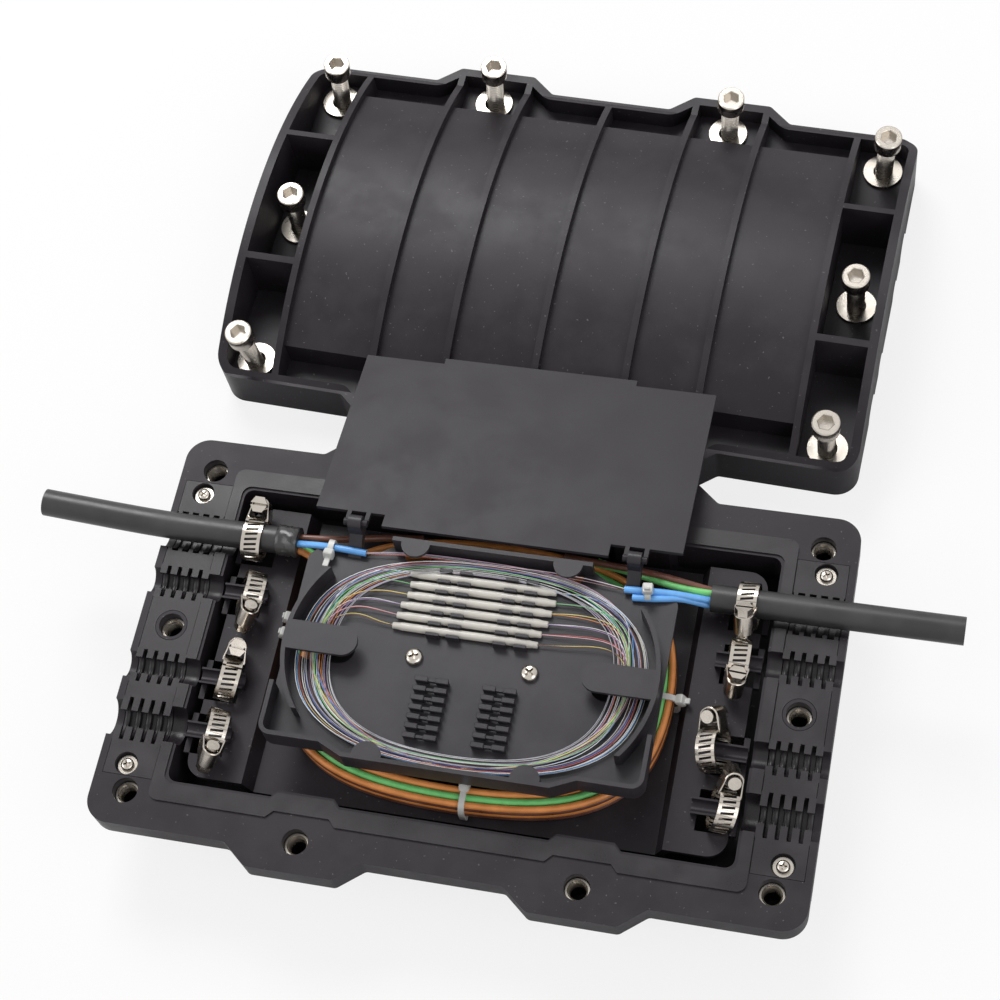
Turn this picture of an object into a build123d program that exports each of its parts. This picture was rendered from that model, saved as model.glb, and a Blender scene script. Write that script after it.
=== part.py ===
"""Fibre distribution box, lying open: base with splice tray, cover beside it.

Origin at the centre of the underside of the base, +Z up, +Y towards the cover.
All sizes in millimetres.
"""
from build123d import *
from math import copysign, cos, radians, sin, sqrt, tan
import os

os.makedirs("parts", exist_ok=True)

# Housing outline, shared by the base and the cover
housing_length = 289.0
housing_width = 174.0
corner_radius = 10.0
lobe_spacing = 112.8
lobe_foot = 56.5
lobe_top = 35.5
lobe_depth = 8.5
lobe_radius = 3.0
wall = 3.0

# Cavity shared by both halves
cavity_length = 228.6
cavity_width = 132.0
cavity_radius = 4.0
jog_foot = 28.5
jog_top = 22.8
jog_depth = 3.0

# Base
base_height = 43.0
flange_thickness = 4.0
skirt_height = 11.0
tub_edge_height = 21.5
tub_flat = 70.0
rib_thickness = 3.0
rib_places = (0.0, 40.0, 73.0, 116.5)

# Housing bolts, in the same pattern in both halves
corner_bolts_x = 260.0
corner_bolts_y = 145.4
lobe_bolts_y = 165.4
side_bolts_x = 260.4
boss_radius = 8.5
side_boss_radius = 6.6
boss_height = 26.0
insert_radius = 5.2
insert_bore_radius = 3.35
insert_length = 12.0
insert_sink = 0.8
insert_clearance = 0.05

# Cable ports, half in each half of the housing
port_places = (42.7, 19.2, -19.2, -42.7)
port_radii = (7.75, 5.65, 5.65, 7.75)
seal_width = 133.0
seal_height = 10.4
seal_groove = 1.5
seal_ring_count = 5
seal_ring_pitch = 4.6
seal_ring_thickness = 1.8
finger_width = 2.8
finger_thickness = 1.8
finger_reach = 3.5
fit = 0.2
seal_screw_x = 132.6
seal_screw_y = 61.5
seal_screw_radius = 1.5
seal_screw_head = 2.7
seal_washer_radius = 4.0
seal_washer_thickness = 0.8
seal_pocket_radius = 4.8
seal_pocket_depth = 3.2
seal_screw_length = 9.0
seal_head_height = 1.9
thread_clearance = 0.05

# Gasket round the cavity
gasket_inset = 1.0
gasket_side = 5.0
gasket_front = 8.0
gasket_depth = 2.0
gasket_proud = 0.8
gasket_lining = 2.0

# Carrier plate with cable saddles
platform_top = 37.1
platform_in = 85.5
platform_out = 110.0
platform_half_width = 60.9
plate_top = 28.7
plate_thickness = 2.5
plate_radius = 8.0
riser_run = 3.2
leg_radius = 4.5
leg_x = 66.0
leg_y = 27.0
saddle_rim = 42.0
saddle_radius = 3.4
saddle_bore = 2.6
saddle_in = 94.0
saddle_out = 112.6
saddle_foot = 2.4
slot_half_width = 8.6

# Cables and their inner tubes
cable_radius = 5.75
cable_left_end = -196.8
cable_right_end = 189.6
cable_left_start = -84.0
cable_right_start = 89.0
tape_radius = 6.6
tape_length = 9.5

# Hose clamps
band_radius = 8.3
band_width = 8.0
band_thickness = 0.7
barrel_radius = 3.9
barrel_length = 8.6
barrel_gap = 0.5
worm_radius = 2.6
worm_clearance = 0.06
worm_tail = 1.6
worm_head_across = 6.6
worm_head_height = 3.2
worm_slot = 1.0
clamp_snug = 0.06

# Splice tray
tray_length = 154.0
tray_front = 47.2
tray_front_middle = 51.8
tray_back = 38.4
tray_back_middle = 44.2
tray_top = 53.5
tray_floor = 1.8
tray_wall_top = 63.2
tray_wall = 1.8
tray_corner = 5.0
tray_jog_out = 51.5
tray_jog_in = 41.5
tray_screw_x = 23.7
tray_screw_y = -3.2
tray_post_radius = 4.5
tray_screw_radius = 2.0
tray_head_radius = 3.6
tray_head_height = 2.6
tray_screw_length = 12.0
tab_radius = 6.0
tab_x = 31.6
tab_thickness = 1.6
tongue_tip = 45.6
tongue_width = 12.4
tongue_y = -4.0
tongue_thickness = 1.8
tongue_root = 75.3
guide_radius = 52.0
guide_reach = 76.2
guide_half_width = 31.0
comb_x = 13.8
comb_length = 13.6
comb_thickness = 1.2
comb_height = 4.2
comb_slot = 3.2
comb_count = 7
comb_pitch = 4.0
comb_middle = -25.0
holder_pitch = 4.7
holder_middle = 20.5
protector_radius = 1.5
protector_length = 60.5
protector_shift = -2.2

# Tray lid, swung open
lid_width = 152.6
lid_length = 90.4
lid_thickness = 1.6
lid_angle = 11.8
hinge_y = 47.5
hinge_z = 64.2
hinge_edge = 5.9
hinge_middle = 94.0
far_middle = 84.0
far_reach = 3.0
clip_x = 57.9
clip_width = 5.4
clip_radius = 3.1
clip_gap = 0.4
pin_radius = 1.5
pin_clearance = 0.08

# Fibre loop on the tray and slack tubes under it
loop_length = 137.0
loop_width = 88.0
loop_radius = 43.5
loop_band = 4.5
loop_height = 3.0
loop_y = -4.0
coil_length = 162.0
coil_width = 117.0
coil_radius = 46.0
coil_band = 9.0
coil_height = 12.0
soft_gap = 0.3

# Cover, lying beside the base
cover_height = 44.0
cover_edge_height = 21.5
cover_x = -3.25
cover_y = 211.6
cover_yaw = -2.3
cover_rim = 4.0
panel_drop = 3.5
panel_thickness = 3.0
panel_margin = 3.5
pocket_floor = 13.0
cross_rib_y = 34.0
cover_hole_radius = 4.5
bolt_radius = 3.97
bolt_length = 38.1
bolt_head_radius = 5.95
bolt_head_height = 7.94
bolt_socket_across = 6.35
bolt_socket_depth = 4.0
washer_radius = 8.75
washer_bore = 4.3
washer_thickness = 1.6

half_length = housing_length / 2
half_width = housing_width / 2
cavity_x = cavity_length / 2
cavity_y = cavity_width / 2
lobe_x = lobe_spacing / 2
tub_x = cavity_x + wall
tub_y = cavity_y + wall
seal_in = cavity_x + gasket_inset + gasket_side
seal_out = half_length - wall
seal_length = seal_out - seal_in - 2 * fit
seal_middle = (seal_in + seal_out) / 2
seal_pocket = seal_height + fit
shelf_depth = seal_pocket + wall
corner_bolts = [(x * corner_bolts_x / 2, y * corner_bolts_y / 2) for x in (-1, 1) for y in (-1, 1)]
lobe_bolts = [(x * lobe_x, y * lobe_bolts_y / 2) for x in (-1, 1) for y in (-1, 1)]
side_bolts = [(x * side_bolts_x / 2, 0) for x in (-1, 1)]
all_bolts = corner_bolts + lobe_bolts + side_bolts
seal_screws = [(x * seal_screw_x, y * seal_screw_y) for x in (-1, 1) for y in (-1, 1)]
rib_lines = sorted({side * x for x in rib_places for side in (-1, 1)})
cable_y = port_places[0]
cable_z = saddle_rim + sqrt(cable_radius**2 - saddle_bore**2) + thread_clearance


def keep(piece, label):
    """Label a finished piece and write it as one STEP file."""
    piece.part.label = label
    export_step(piece.part, f"parts/{label}.step")


def bumps(foot, top, edge, reach):
    """Four slanted bumps on the front and back edges, inwards where reach is negative."""
    root = edge - copysign(wall, reach)
    with BuildSketch(mode=Mode.PRIVATE) as four:
        for x in (-lobe_x, lobe_x):
            for way in (1, -1):
                with BuildLine():
                    Polyline(
                        (x - foot / 2, way * root),
                        (x - foot / 2, way * edge),
                        (x - top / 2, way * (edge + reach)),
                        (x + top / 2, way * (edge + reach)),
                        (x + foot / 2, way * edge),
                        (x + foot / 2, way * root),
                        close=True,
                    )
                make_face()
    return four.sketch


def housing_plan(inset=0.0):
    """Plan of one half: a rounded rectangle with its four bolt lobes."""
    with BuildSketch(mode=Mode.PRIVATE) as plan:
        RectangleRounded(housing_length, housing_width, corner_radius)
        add(bumps(lobe_foot, lobe_top, half_width, lobe_depth))
        fillet([v for v in plan.vertices() if abs(v.X) < lobe_x + lobe_foot], lobe_radius)
        if inset:
            offset(amount=-inset, mode=Mode.REPLACE)
    return plan.sketch


def cavity_plan(side=0.0, front=0.0):
    """Plan of the cavity, grown by a margin at the sides and at front and back."""
    with BuildSketch(mode=Mode.PRIVATE) as plan:
        RectangleRounded(cavity_length + 2 * side, cavity_width + 2 * front, cavity_radius)
        add(bumps(jog_foot, jog_top, cavity_y + front, -jog_depth), mode=Mode.SUBTRACT)
    return plan.sketch


def tub_section(inset=0.0):
    """Section of the tub along Y: steep edges, two arcs and a flat middle."""
    side = tub_y - inset / 2
    flat = tub_flat / 2
    with BuildSketch(mode=Mode.PRIVATE) as section:
        with BuildLine():
            Polyline(
                (-side, tub_edge_height + inset),
                (-side, base_height),
                (side, base_height),
                (side, tub_edge_height + inset),
            )
            TangentArc((flat, inset), (side, tub_edge_height + inset), tangent=(1, 0))
            Line((flat, inset), (-flat, inset))
            TangentArc((-flat, inset), (-side, tub_edge_height + inset), tangent=(-1, 0))
        make_face()
    return section.sketch


def arch_section(drop=0.0):
    """Section of the cover along Y: an arc that ends inside the rim, then level to the lobes."""
    reach = half_width - wall / 2
    with BuildSketch(mode=Mode.PRIVATE) as section:
        with BuildLine():
            Polyline(
                (-reach, cover_edge_height - drop),
                (-reach - 2 * lobe_depth, cover_edge_height - drop),
                (-reach - 2 * lobe_depth, 0),
                (reach + 2 * lobe_depth, 0),
                (reach + 2 * lobe_depth, cover_edge_height - drop),
                (reach, cover_edge_height - drop),
            )
            ThreePointArc(
                (reach, cover_edge_height - drop),
                (0, cover_height - drop),
                (-reach, cover_edge_height - drop),
            )
        make_face()
    return section.sketch


# Base shell
with BuildPart() as cavity:
    with BuildSketch():
        add(cavity_plan())
    extrude(amount=base_height)
    with BuildSketch(Plane.YZ):
        add(tub_section(wall))
    extrude(amount=cavity_x, both=True, mode=Mode.INTERSECT)

with BuildPart() as base_shell:
    with BuildSketch(Plane.XY.offset(base_height)):
        add(housing_plan())
    extrude(amount=-flange_thickness)
    with BuildSketch(Plane.XY.offset(base_height)):
        add(housing_plan())
        add(housing_plan(wall), mode=Mode.SUBTRACT)
    extrude(amount=-skirt_height)
    with BuildSketch(Plane.YZ):
        add(tub_section())
    extrude(amount=tub_x, both=True)
    for side in (-1, 1):
        with BuildSketch(Plane.XY.offset(base_height)):
            with Locations((side * (cavity_x + half_length) / 2, 0)):
                Rectangle(half_length - cavity_x, seal_width + 2 * fit + 2 * wall)
        extrude(amount=-shelf_depth)
    for x in rib_lines:
        outer = half_width + (lobe_depth if abs(abs(x) - lobe_x) < lobe_top / 2 else 0) - wall / 2
        with BuildSketch(Plane.YZ.offset(x - rib_thickness / 2)) as fins:
            with BuildLine():
                Polyline(
                    (cavity_y + wall / 2, tub_edge_height + wall),
                    (cavity_y + wall / 2, base_height - wall),
                    (outer, base_height - wall),
                    (outer, base_height - skirt_height),
                    close=True,
                )
            make_face()
            mirror(about=Plane.YZ)
        extrude(amount=rib_thickness)
    with BuildSketch(Plane.XY.offset(base_height)):
        with Locations(corner_bolts + lobe_bolts):
            Circle(boss_radius)
    extrude(amount=-boss_height)
    add(cavity.part, mode=Mode.SUBTRACT)
    with BuildSketch(Plane.XY.offset(base_height)):
        with Locations((seal_middle, 0), (-seal_middle, 0)):
            Rectangle(seal_out - seal_in, seal_width + 2 * fit)
    extrude(amount=-seal_pocket, mode=Mode.SUBTRACT)
    with BuildSketch(Plane.XY.offset(base_height)):
        with Locations(side_bolts):
            Circle(side_boss_radius)
    extrude(amount=-boss_height)
    with BuildSketch(Plane.XY.offset(base_height)):
        add(cavity_plan(gasket_inset + gasket_side, gasket_inset + gasket_front))
        add(cavity_plan(gasket_inset, gasket_inset), mode=Mode.SUBTRACT)
    extrude(amount=-gasket_depth, mode=Mode.SUBTRACT)
    for y, radius in zip(port_places, port_radii):
        with BuildSketch(Plane.YZ):
            with Locations((y, base_height)):
                Circle(radius)
        extrude(amount=half_length, both=True, mode=Mode.SUBTRACT)
        for side in (-1, 1):
            with BuildSketch(Plane.YZ.offset(side * (cavity_x + gasket_inset))):
                with Locations((y, base_height)):
                    Circle(radius + gasket_lining)
            extrude(amount=side * gasket_side, mode=Mode.SUBTRACT)
    with BuildSketch(Plane.XY.offset(base_height)):
        with Locations(all_bolts):
            Circle(insert_radius + insert_clearance)
    extrude(amount=-insert_length - insert_sink, mode=Mode.SUBTRACT)
    with BuildSketch(Plane.XY.offset(base_height)):
        with Locations(all_bolts):
            Circle(bolt_radius + fit)
    extrude(amount=wall - boss_height, mode=Mode.SUBTRACT)
    with BuildSketch(Plane.XY.offset(base_height)):
        with Locations(seal_screws):
            Circle(seal_screw_radius + thread_clearance)
    extrude(amount=-shelf_depth, mode=Mode.SUBTRACT)
keep(base_shell, "base_shell")

# Threaded inserts
with BuildPart() as base_inserts:
    with BuildSketch(Plane.XY.offset(base_height - insert_sink)):
        with Locations(all_bolts):
            Circle(insert_radius)
            Circle(insert_bore_radius, mode=Mode.SUBTRACT)
    extrude(amount=-insert_length)
keep(base_inserts, "base_inserts")

# Gasket
with BuildPart() as gasket:
    with BuildSketch(Plane.XY.offset(base_height - gasket_depth)):
        add(cavity_plan(gasket_inset + gasket_side, gasket_inset + gasket_front))
        add(cavity_plan(gasket_inset, gasket_inset), mode=Mode.SUBTRACT)
    extrude(amount=gasket_depth)
    with BuildSketch(Plane.XY.offset(base_height)):
        add(cavity_plan(gasket_inset + gasket_side - fit, gasket_inset + gasket_front - fit))
        add(cavity_plan(gasket_inset + fit, gasket_inset + fit), mode=Mode.SUBTRACT)
    extrude(amount=gasket_proud)
    for y, radius in zip(port_places, port_radii):
        for side in (-1, 1):
            with BuildSketch(Plane.YZ.offset(side * (cavity_x + gasket_inset))):
                with Locations((y, base_height)):
                    Circle(radius + gasket_lining)
                with Locations((y, base_height + radius + gasket_lining)):
                    Rectangle(4 * radius, 2 * (radius + gasket_lining), mode=Mode.SUBTRACT)
            extrude(amount=side * gasket_side)
        with BuildSketch(Plane.YZ):
            with Locations((y, base_height)):
                Circle(radius)
        extrude(amount=half_length, both=True, mode=Mode.SUBTRACT)
keep(gasket, "gasket")

# Port seals
for side, label in ((-1, "port_seal_left"), (1, "port_seal_right")):
    with BuildPart() as port_seal:
        with BuildSketch(Plane.XY.offset(base_height - seal_height)):
            with Locations((side * seal_middle, 0)):
                Rectangle(seal_length, seal_width)
        extrude(amount=seal_height)
        for y, radius in zip(port_places, port_radii):
            with BuildSketch(Plane.YZ.offset(side * seal_in)):
                with Locations((y, base_height)):
                    Circle(radius + seal_groove)
            extrude(amount=side * (seal_out - seal_in), mode=Mode.SUBTRACT)
            for step in range(seal_ring_count):
                x = seal_middle + (step - (seal_ring_count - 1) / 2) * seal_ring_pitch
                with BuildSketch(Plane.YZ.offset(side * (x - seal_ring_thickness / 2))):
                    with Locations((y, base_height)):
                        Circle(radius + seal_groove + fit)
                        Circle(radius, mode=Mode.SUBTRACT)
                        Rectangle(
                            4 * radius,
                            2 * radius,
                            align=(Align.CENTER, Align.MIN),
                            mode=Mode.SUBTRACT,
                        )
                extrude(amount=side * seal_ring_thickness)
                if y == cable_y:
                    continue
                root = radius + seal_groove + fit
                with BuildSketch(Plane.XY.offset(base_height)):
                    for way in (-1, 1):
                        with Locations((side * x, y + way * (root + finger_reach) / 2)):
                            Rectangle(finger_width, root - finger_reach)
                extrude(amount=-finger_thickness)
        with BuildSketch(Plane.XY.offset(base_height)):
            with Locations((side * side_bolts_x / 2, 0)):
                Circle(side_boss_radius + fit)
        extrude(amount=-seal_height, mode=Mode.SUBTRACT)
        with BuildSketch(Plane.XY.offset(base_height)):
            with Locations([place for place in seal_screws if place[0] * side > 0]):
                Circle(seal_pocket_radius)
        extrude(amount=-seal_pocket_depth, mode=Mode.SUBTRACT)
        with BuildSketch(Plane.XY.offset(base_height)):
            with Locations([place for place in seal_screws if place[0] * side > 0]):
                Circle(seal_screw_radius + fit)
        extrude(amount=-seal_height, mode=Mode.SUBTRACT)
    keep(port_seal, label)

# Seal screws and their washers
seal_floor = base_height - seal_pocket_depth
with BuildPart() as seal_washers:
    with BuildSketch(Plane.XY.offset(seal_floor)):
        with Locations(seal_screws):
            Circle(seal_washer_radius)
            Circle(seal_screw_radius + fit, mode=Mode.SUBTRACT)
    extrude(amount=seal_washer_thickness)
keep(seal_washers, "seal_washers")

with BuildPart() as seal_screw_set:
    with BuildSketch(Plane.XY.offset(seal_floor + seal_washer_thickness)):
        with Locations(seal_screws):
            Circle(seal_screw_head)
    extrude(amount=seal_head_height)
    with BuildSketch(Plane.XY.offset(seal_floor + seal_washer_thickness)):
        with Locations(seal_screws):
            Circle(seal_screw_radius)
    extrude(amount=-seal_screw_length)
keep(seal_screw_set, "seal_screws")

# Carrier
tray_under = tray_top - tray_floor
with BuildPart() as carrier:
    with BuildSketch(Plane.XZ):
        with BuildLine():
            Polyline(
                (0, plate_top),
                (platform_in - riser_run, plate_top),
                (platform_in, platform_top),
                (platform_out, platform_top),
                (platform_out, platform_top - plate_thickness),
                (platform_in + plate_thickness, platform_top - plate_thickness),
                (platform_in + plate_thickness - riser_run, plate_top - plate_thickness),
                (0, plate_top - plate_thickness),
                close=True,
            )
        make_face()
        mirror(about=Plane.YZ)
    extrude(amount=platform_half_width, both=True)
    fillet(carrier.edges().filter_by(Axis.Z).group_by(Axis.X)[0], plate_radius)
    fillet(carrier.edges().filter_by(Axis.Z).group_by(Axis.X)[-1], plate_radius)
    for side in (-1, 1):
        for y in port_places:
            with BuildSketch(Plane.XY.offset(platform_top)):
                with Locations((side * (platform_out - boss_radius / 2 + saddle_out) / 2, y)):
                    Rectangle(saddle_out - platform_out + boss_radius / 2, 2 * slot_half_width)
            extrude(amount=-plate_thickness)
            with BuildSketch(Plane.XY.offset(platform_top)):
                with Locations((side * (saddle_in + saddle_out) / 2, y)):
                    Rectangle(saddle_out - saddle_in - 2 * saddle_foot, 2 * slot_half_width)
            extrude(amount=-plate_thickness, mode=Mode.SUBTRACT)
            with BuildSketch(Plane.YZ.offset(side * saddle_in)):
                with Locations((y, saddle_rim)):
                    Circle(saddle_radius)
                    Circle(saddle_bore, mode=Mode.SUBTRACT)
                    Rectangle(
                        2 * saddle_radius,
                        saddle_radius,
                        align=(Align.CENTER, Align.MIN),
                        mode=Mode.SUBTRACT,
                    )
            extrude(amount=side * (saddle_out - saddle_in))
            for x in (saddle_in, saddle_out - saddle_foot):
                with BuildSketch(Plane.YZ.offset(side * x)):
                    with Locations((y, platform_top - plate_thickness)):
                        Rectangle(
                            2 * saddle_bore,
                            saddle_rim - saddle_bore - platform_top + plate_thickness,
                            align=(Align.CENTER, Align.MIN),
                        )
                extrude(amount=side * saddle_foot)
    with BuildSketch(Plane.XY.offset(wall)):
        with GridLocations(2 * leg_x, 2 * leg_y, 2, 2):
            Circle(leg_radius)
    extrude(amount=plate_top - plate_thickness - wall)
    with BuildSketch(Plane.XY.offset(plate_top)):
        with Locations((-tray_screw_x, tray_screw_y), (tray_screw_x, tray_screw_y)):
            Circle(tray_post_radius)
    extrude(amount=tray_under - plate_top)
    with BuildSketch(Plane.XY.offset(tray_under)):
        with Locations((-tray_screw_x, tray_screw_y), (tray_screw_x, tray_screw_y)):
            Circle(tray_screw_radius + thread_clearance)
    extrude(amount=-tray_screw_length, mode=Mode.SUBTRACT)
keep(carrier, "carrier")


def tray_plan(inset=0.0):
    """Plan of the splice tray, deeper in the middle at the front and at the back."""
    with BuildSketch(mode=Mode.PRIVATE) as plan:
        with BuildLine():
            Polyline(
                (-tray_length / 2, -tray_front),
                (-tray_jog_out, -tray_front),
                (-tray_jog_in, -tray_front_middle),
                (tray_jog_in, -tray_front_middle),
                (tray_jog_out, -tray_front),
                (tray_length / 2, -tray_front),
                (tray_length / 2, tray_back),
                (tray_jog_out, tray_back),
                (tray_jog_in, tray_back_middle),
                (-tray_jog_in, tray_back_middle),
                (-tray_jog_out, tray_back),
                (-tray_length / 2, tray_back),
                close=True,
            )
        make_face()
        fillet(
            [v for v in plan.vertices() if abs(v.X) > tray_jog_out + tray_corner],
            tray_corner,
        )
        if inset:
            offset(amount=-inset, mode=Mode.REPLACE)
    return plan.sketch


# Splice tray
with BuildPart() as splice_tray:
    with BuildSketch(Plane.XY.offset(tray_under)):
        add(tray_plan())
    extrude(amount=tray_floor)
    with BuildSketch(Plane.XY.offset(tray_top)):
        add(tray_plan())
        add(tray_plan(tray_wall), mode=Mode.SUBTRACT)
        Rectangle(2 * tray_length, tray_front + tray_wall, mode=Mode.SUBTRACT)
        for side in (-1, 1):
            with Locations((side * tray_length / 2, tray_back)):
                Rectangle(tray_length - 2 * tray_jog_in, tray_back, mode=Mode.SUBTRACT)
    extrude(amount=tray_wall_top - tray_top)
    for side in (-1, 1):
        with BuildSketch(Plane.XY.offset(tray_top)):
            with Locations((side * (guide_reach - guide_radius), tongue_y)):
                Circle(guide_radius)
                Circle(guide_radius - tray_wall, mode=Mode.SUBTRACT)
            with Locations((side * tray_length / 2, tongue_y)):
                Rectangle(tray_length, 2 * guide_half_width, mode=Mode.INTERSECT)
        extrude(amount=tray_wall_top - tray_top)
        with BuildSketch(Plane.XY.offset(tray_wall_top)):
            with Locations((side * (tongue_tip + tongue_width / 2 + tongue_root) / 2, tongue_y)):
                Rectangle(tongue_root - tongue_tip - tongue_width / 2, tongue_width)
            with Locations((side * (tongue_tip + tongue_width / 2), tongue_y)):
                Circle(tongue_width / 2)
        extrude(amount=-tongue_thickness)
        with BuildSketch(Plane.XY.offset(tray_top)):
            with Locations((side * (tongue_tip + tongue_root) / 2, tongue_y)):
                SlotOverall(tongue_root - tongue_tip - 3 * tray_wall, tongue_width)
        extrude(amount=-tray_floor, mode=Mode.SUBTRACT)
    with BuildSketch(Plane.XY.offset(tray_wall_top)) as tabs:
        with Locations((-tab_x, tray_wall - tray_front_middle), (tab_x, tray_wall - tray_front_middle)):
            Circle(tab_radius)
            Rectangle(2 * tab_radius, tab_radius, align=(Align.CENTER, Align.MAX), mode=Mode.SUBTRACT)
        with Locations((-tab_x, tray_back_middle - tray_wall), (tab_x, tray_back_middle - tray_wall)):
            Circle(tab_radius)
            Rectangle(2 * tab_radius, tab_radius, align=(Align.CENTER, Align.MIN), mode=Mode.SUBTRACT)
    extrude(amount=-tab_thickness)
    add(tabs.sketch.moved(Location((0, 0, tray_top - tray_wall_top))))
    extrude(amount=-tray_floor, mode=Mode.SUBTRACT)
    for way in (-1, 1):
        for step in range(comb_count):
            places = (
                (way * comb_x, comb_middle + (step - (comb_count - 1) / 2) * comb_pitch),
                (way * comb_x, holder_middle + (step - (comb_count - 1) / 2) * holder_pitch),
            )
            with BuildSketch(Plane.XY.offset(tray_top)):
                with Locations(places):
                    Rectangle(comb_length, comb_thickness)
                    Rectangle(comb_slot, comb_thickness, mode=Mode.SUBTRACT)
            extrude(amount=comb_height)
        with BuildSketch(Plane.YZ.offset(way * clip_x - clip_width / 2)):
            with Locations((hinge_y, hinge_z)):
                Circle(clip_radius)
            with BuildLine():
                Polyline(
                    (tray_back - tray_wall, tray_top),
                    (tray_back - tray_wall, tray_top - tray_floor),
                    (hinge_y + clip_radius, tray_top + clip_radius),
                    (hinge_y + clip_radius, hinge_z),
                    (hinge_y - clip_radius, hinge_z),
                    (hinge_y - clip_radius, tray_top + 2 * clip_radius),
                    close=True,
                )
            make_face()
        extrude(amount=clip_width)
        with BuildSketch(Plane.YZ.offset(way * clip_x - clip_width / 2)):
            with Locations((hinge_y, hinge_z)):
                Circle(pin_radius + pin_clearance)
        extrude(amount=clip_width, mode=Mode.SUBTRACT)
    with BuildSketch(Plane.XY.offset(tray_top)):
        with Locations((-tray_screw_x, tray_screw_y), (tray_screw_x, tray_screw_y)):
            Circle(tray_screw_radius + fit)
    extrude(amount=-tray_floor, mode=Mode.SUBTRACT)
keep(splice_tray, "splice_tray")

# Tray screws
with BuildPart() as tray_screw_set:
    with BuildSketch(Plane.XY.offset(tray_top)):
        with Locations((-tray_screw_x, tray_screw_y), (tray_screw_x, tray_screw_y)):
            Circle(tray_head_radius)
    extrude(amount=tray_head_height)
    with BuildSketch(Plane.XY.offset(tray_top)):
        with Locations((-tray_screw_x, tray_screw_y), (tray_screw_x, tray_screw_y)):
            Circle(tray_screw_radius)
    extrude(amount=-tray_screw_length)
keep(tray_screw_set, "tray_screws")

# Splice protectors
with BuildPart() as splice_protectors:
    for step in range(comb_count - 1):
        y = holder_middle + (step - (comb_count - 2) / 2) * holder_pitch
        with BuildSketch(Plane.YZ.offset(protector_shift - protector_length / 2)):
            with Locations((y, tray_top + protector_radius)):
                Circle(protector_radius)
        extrude(amount=protector_length)
keep(splice_protectors, "splice_protectors")

# Fibre loop on the tray floor
with BuildPart() as fibre_loop:
    with BuildSketch(Plane.XY.offset(tray_top)):
        with Locations((0, loop_y)):
            RectangleRounded(loop_length, loop_width, loop_radius)
            RectangleRounded(
                loop_length - 2 * loop_band,
                loop_width - 2 * loop_band,
                loop_radius - loop_band,
                mode=Mode.SUBTRACT,
            )
    extrude(amount=loop_height)
keep(fibre_loop, "fibre_loop")

# Slack of the tubes, coiled under the tray
with BuildPart() as slack_tubes:
    with BuildSketch(Plane.XY.offset(plate_top)):
        RectangleRounded(coil_length, coil_width, coil_radius)
        RectangleRounded(
            coil_length - 2 * coil_band,
            coil_width - 2 * coil_band,
            coil_radius - coil_band,
            mode=Mode.SUBTRACT,
        )
    extrude(amount=coil_height)
keep(slack_tubes, "slack_tubes")

# Tray lid: its inner face holds the hinge axis
lid_plane = Plane(
    origin=(0, hinge_y, hinge_z),
    x_dir=(1, 0, 0),
    z_dir=(0, tan(radians(lid_angle)), 1),
)
arm_in = clip_x - clip_width / 2 - clip_gap
arm_out = clip_x + clip_width / 2 + clip_gap
with BuildPart() as tray_lid:
    with BuildSketch(lid_plane):
        with Locations((0, hinge_edge)):
            Rectangle(lid_width, lid_length - hinge_edge, align=(Align.CENTER, Align.MIN))
        Rectangle(hinge_middle, hinge_edge, align=(Align.CENTER, Align.MIN))
        with Locations((0, lid_length)):
            Rectangle(far_middle, far_reach, align=(Align.CENTER, Align.MIN))
        for side in (-1, 1):
            for x in (arm_in - tray_wall / 2, arm_out + tray_wall / 2):
                with Locations((side * x, 0)):
                    Rectangle(tray_wall, hinge_edge, align=(Align.CENTER, Align.MIN))
    extrude(amount=-lid_thickness)
    for side in (-1, 1):
        with BuildSketch(Plane.YZ.offset(side * clip_x - clip_width / 2 - clip_gap - tray_wall)):
            with Locations((hinge_y, hinge_z)):
                Circle(pin_radius)
        extrude(amount=clip_width + 2 * clip_gap + 2 * tray_wall)
keep(tray_lid, "tray_lid")

# Cables, cut short outside the box
for side, start, end, label in (
    (-1, cable_left_start, cable_left_end, "cable_left"),
    (1, cable_right_start, cable_right_end, "cable_right"),
):
    with BuildPart() as cable:
        with BuildSketch(Plane.YZ.offset(start)):
            with Locations((cable_y, cable_z)):
                Circle(cable_radius)
        extrude(amount=end - start)
    keep(cable, label)

# Tape round the end of the left cable's jacket
with BuildPart() as tape_wrap:
    with BuildSketch(Plane.YZ.offset(cable_left_start)):
        with Locations((cable_y, cable_z)):
            Circle(tape_radius)
            Circle(cable_radius, mode=Mode.SUBTRACT)
    extrude(amount=-tape_length)
keep(tape_wrap, "tape_wrap")

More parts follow.
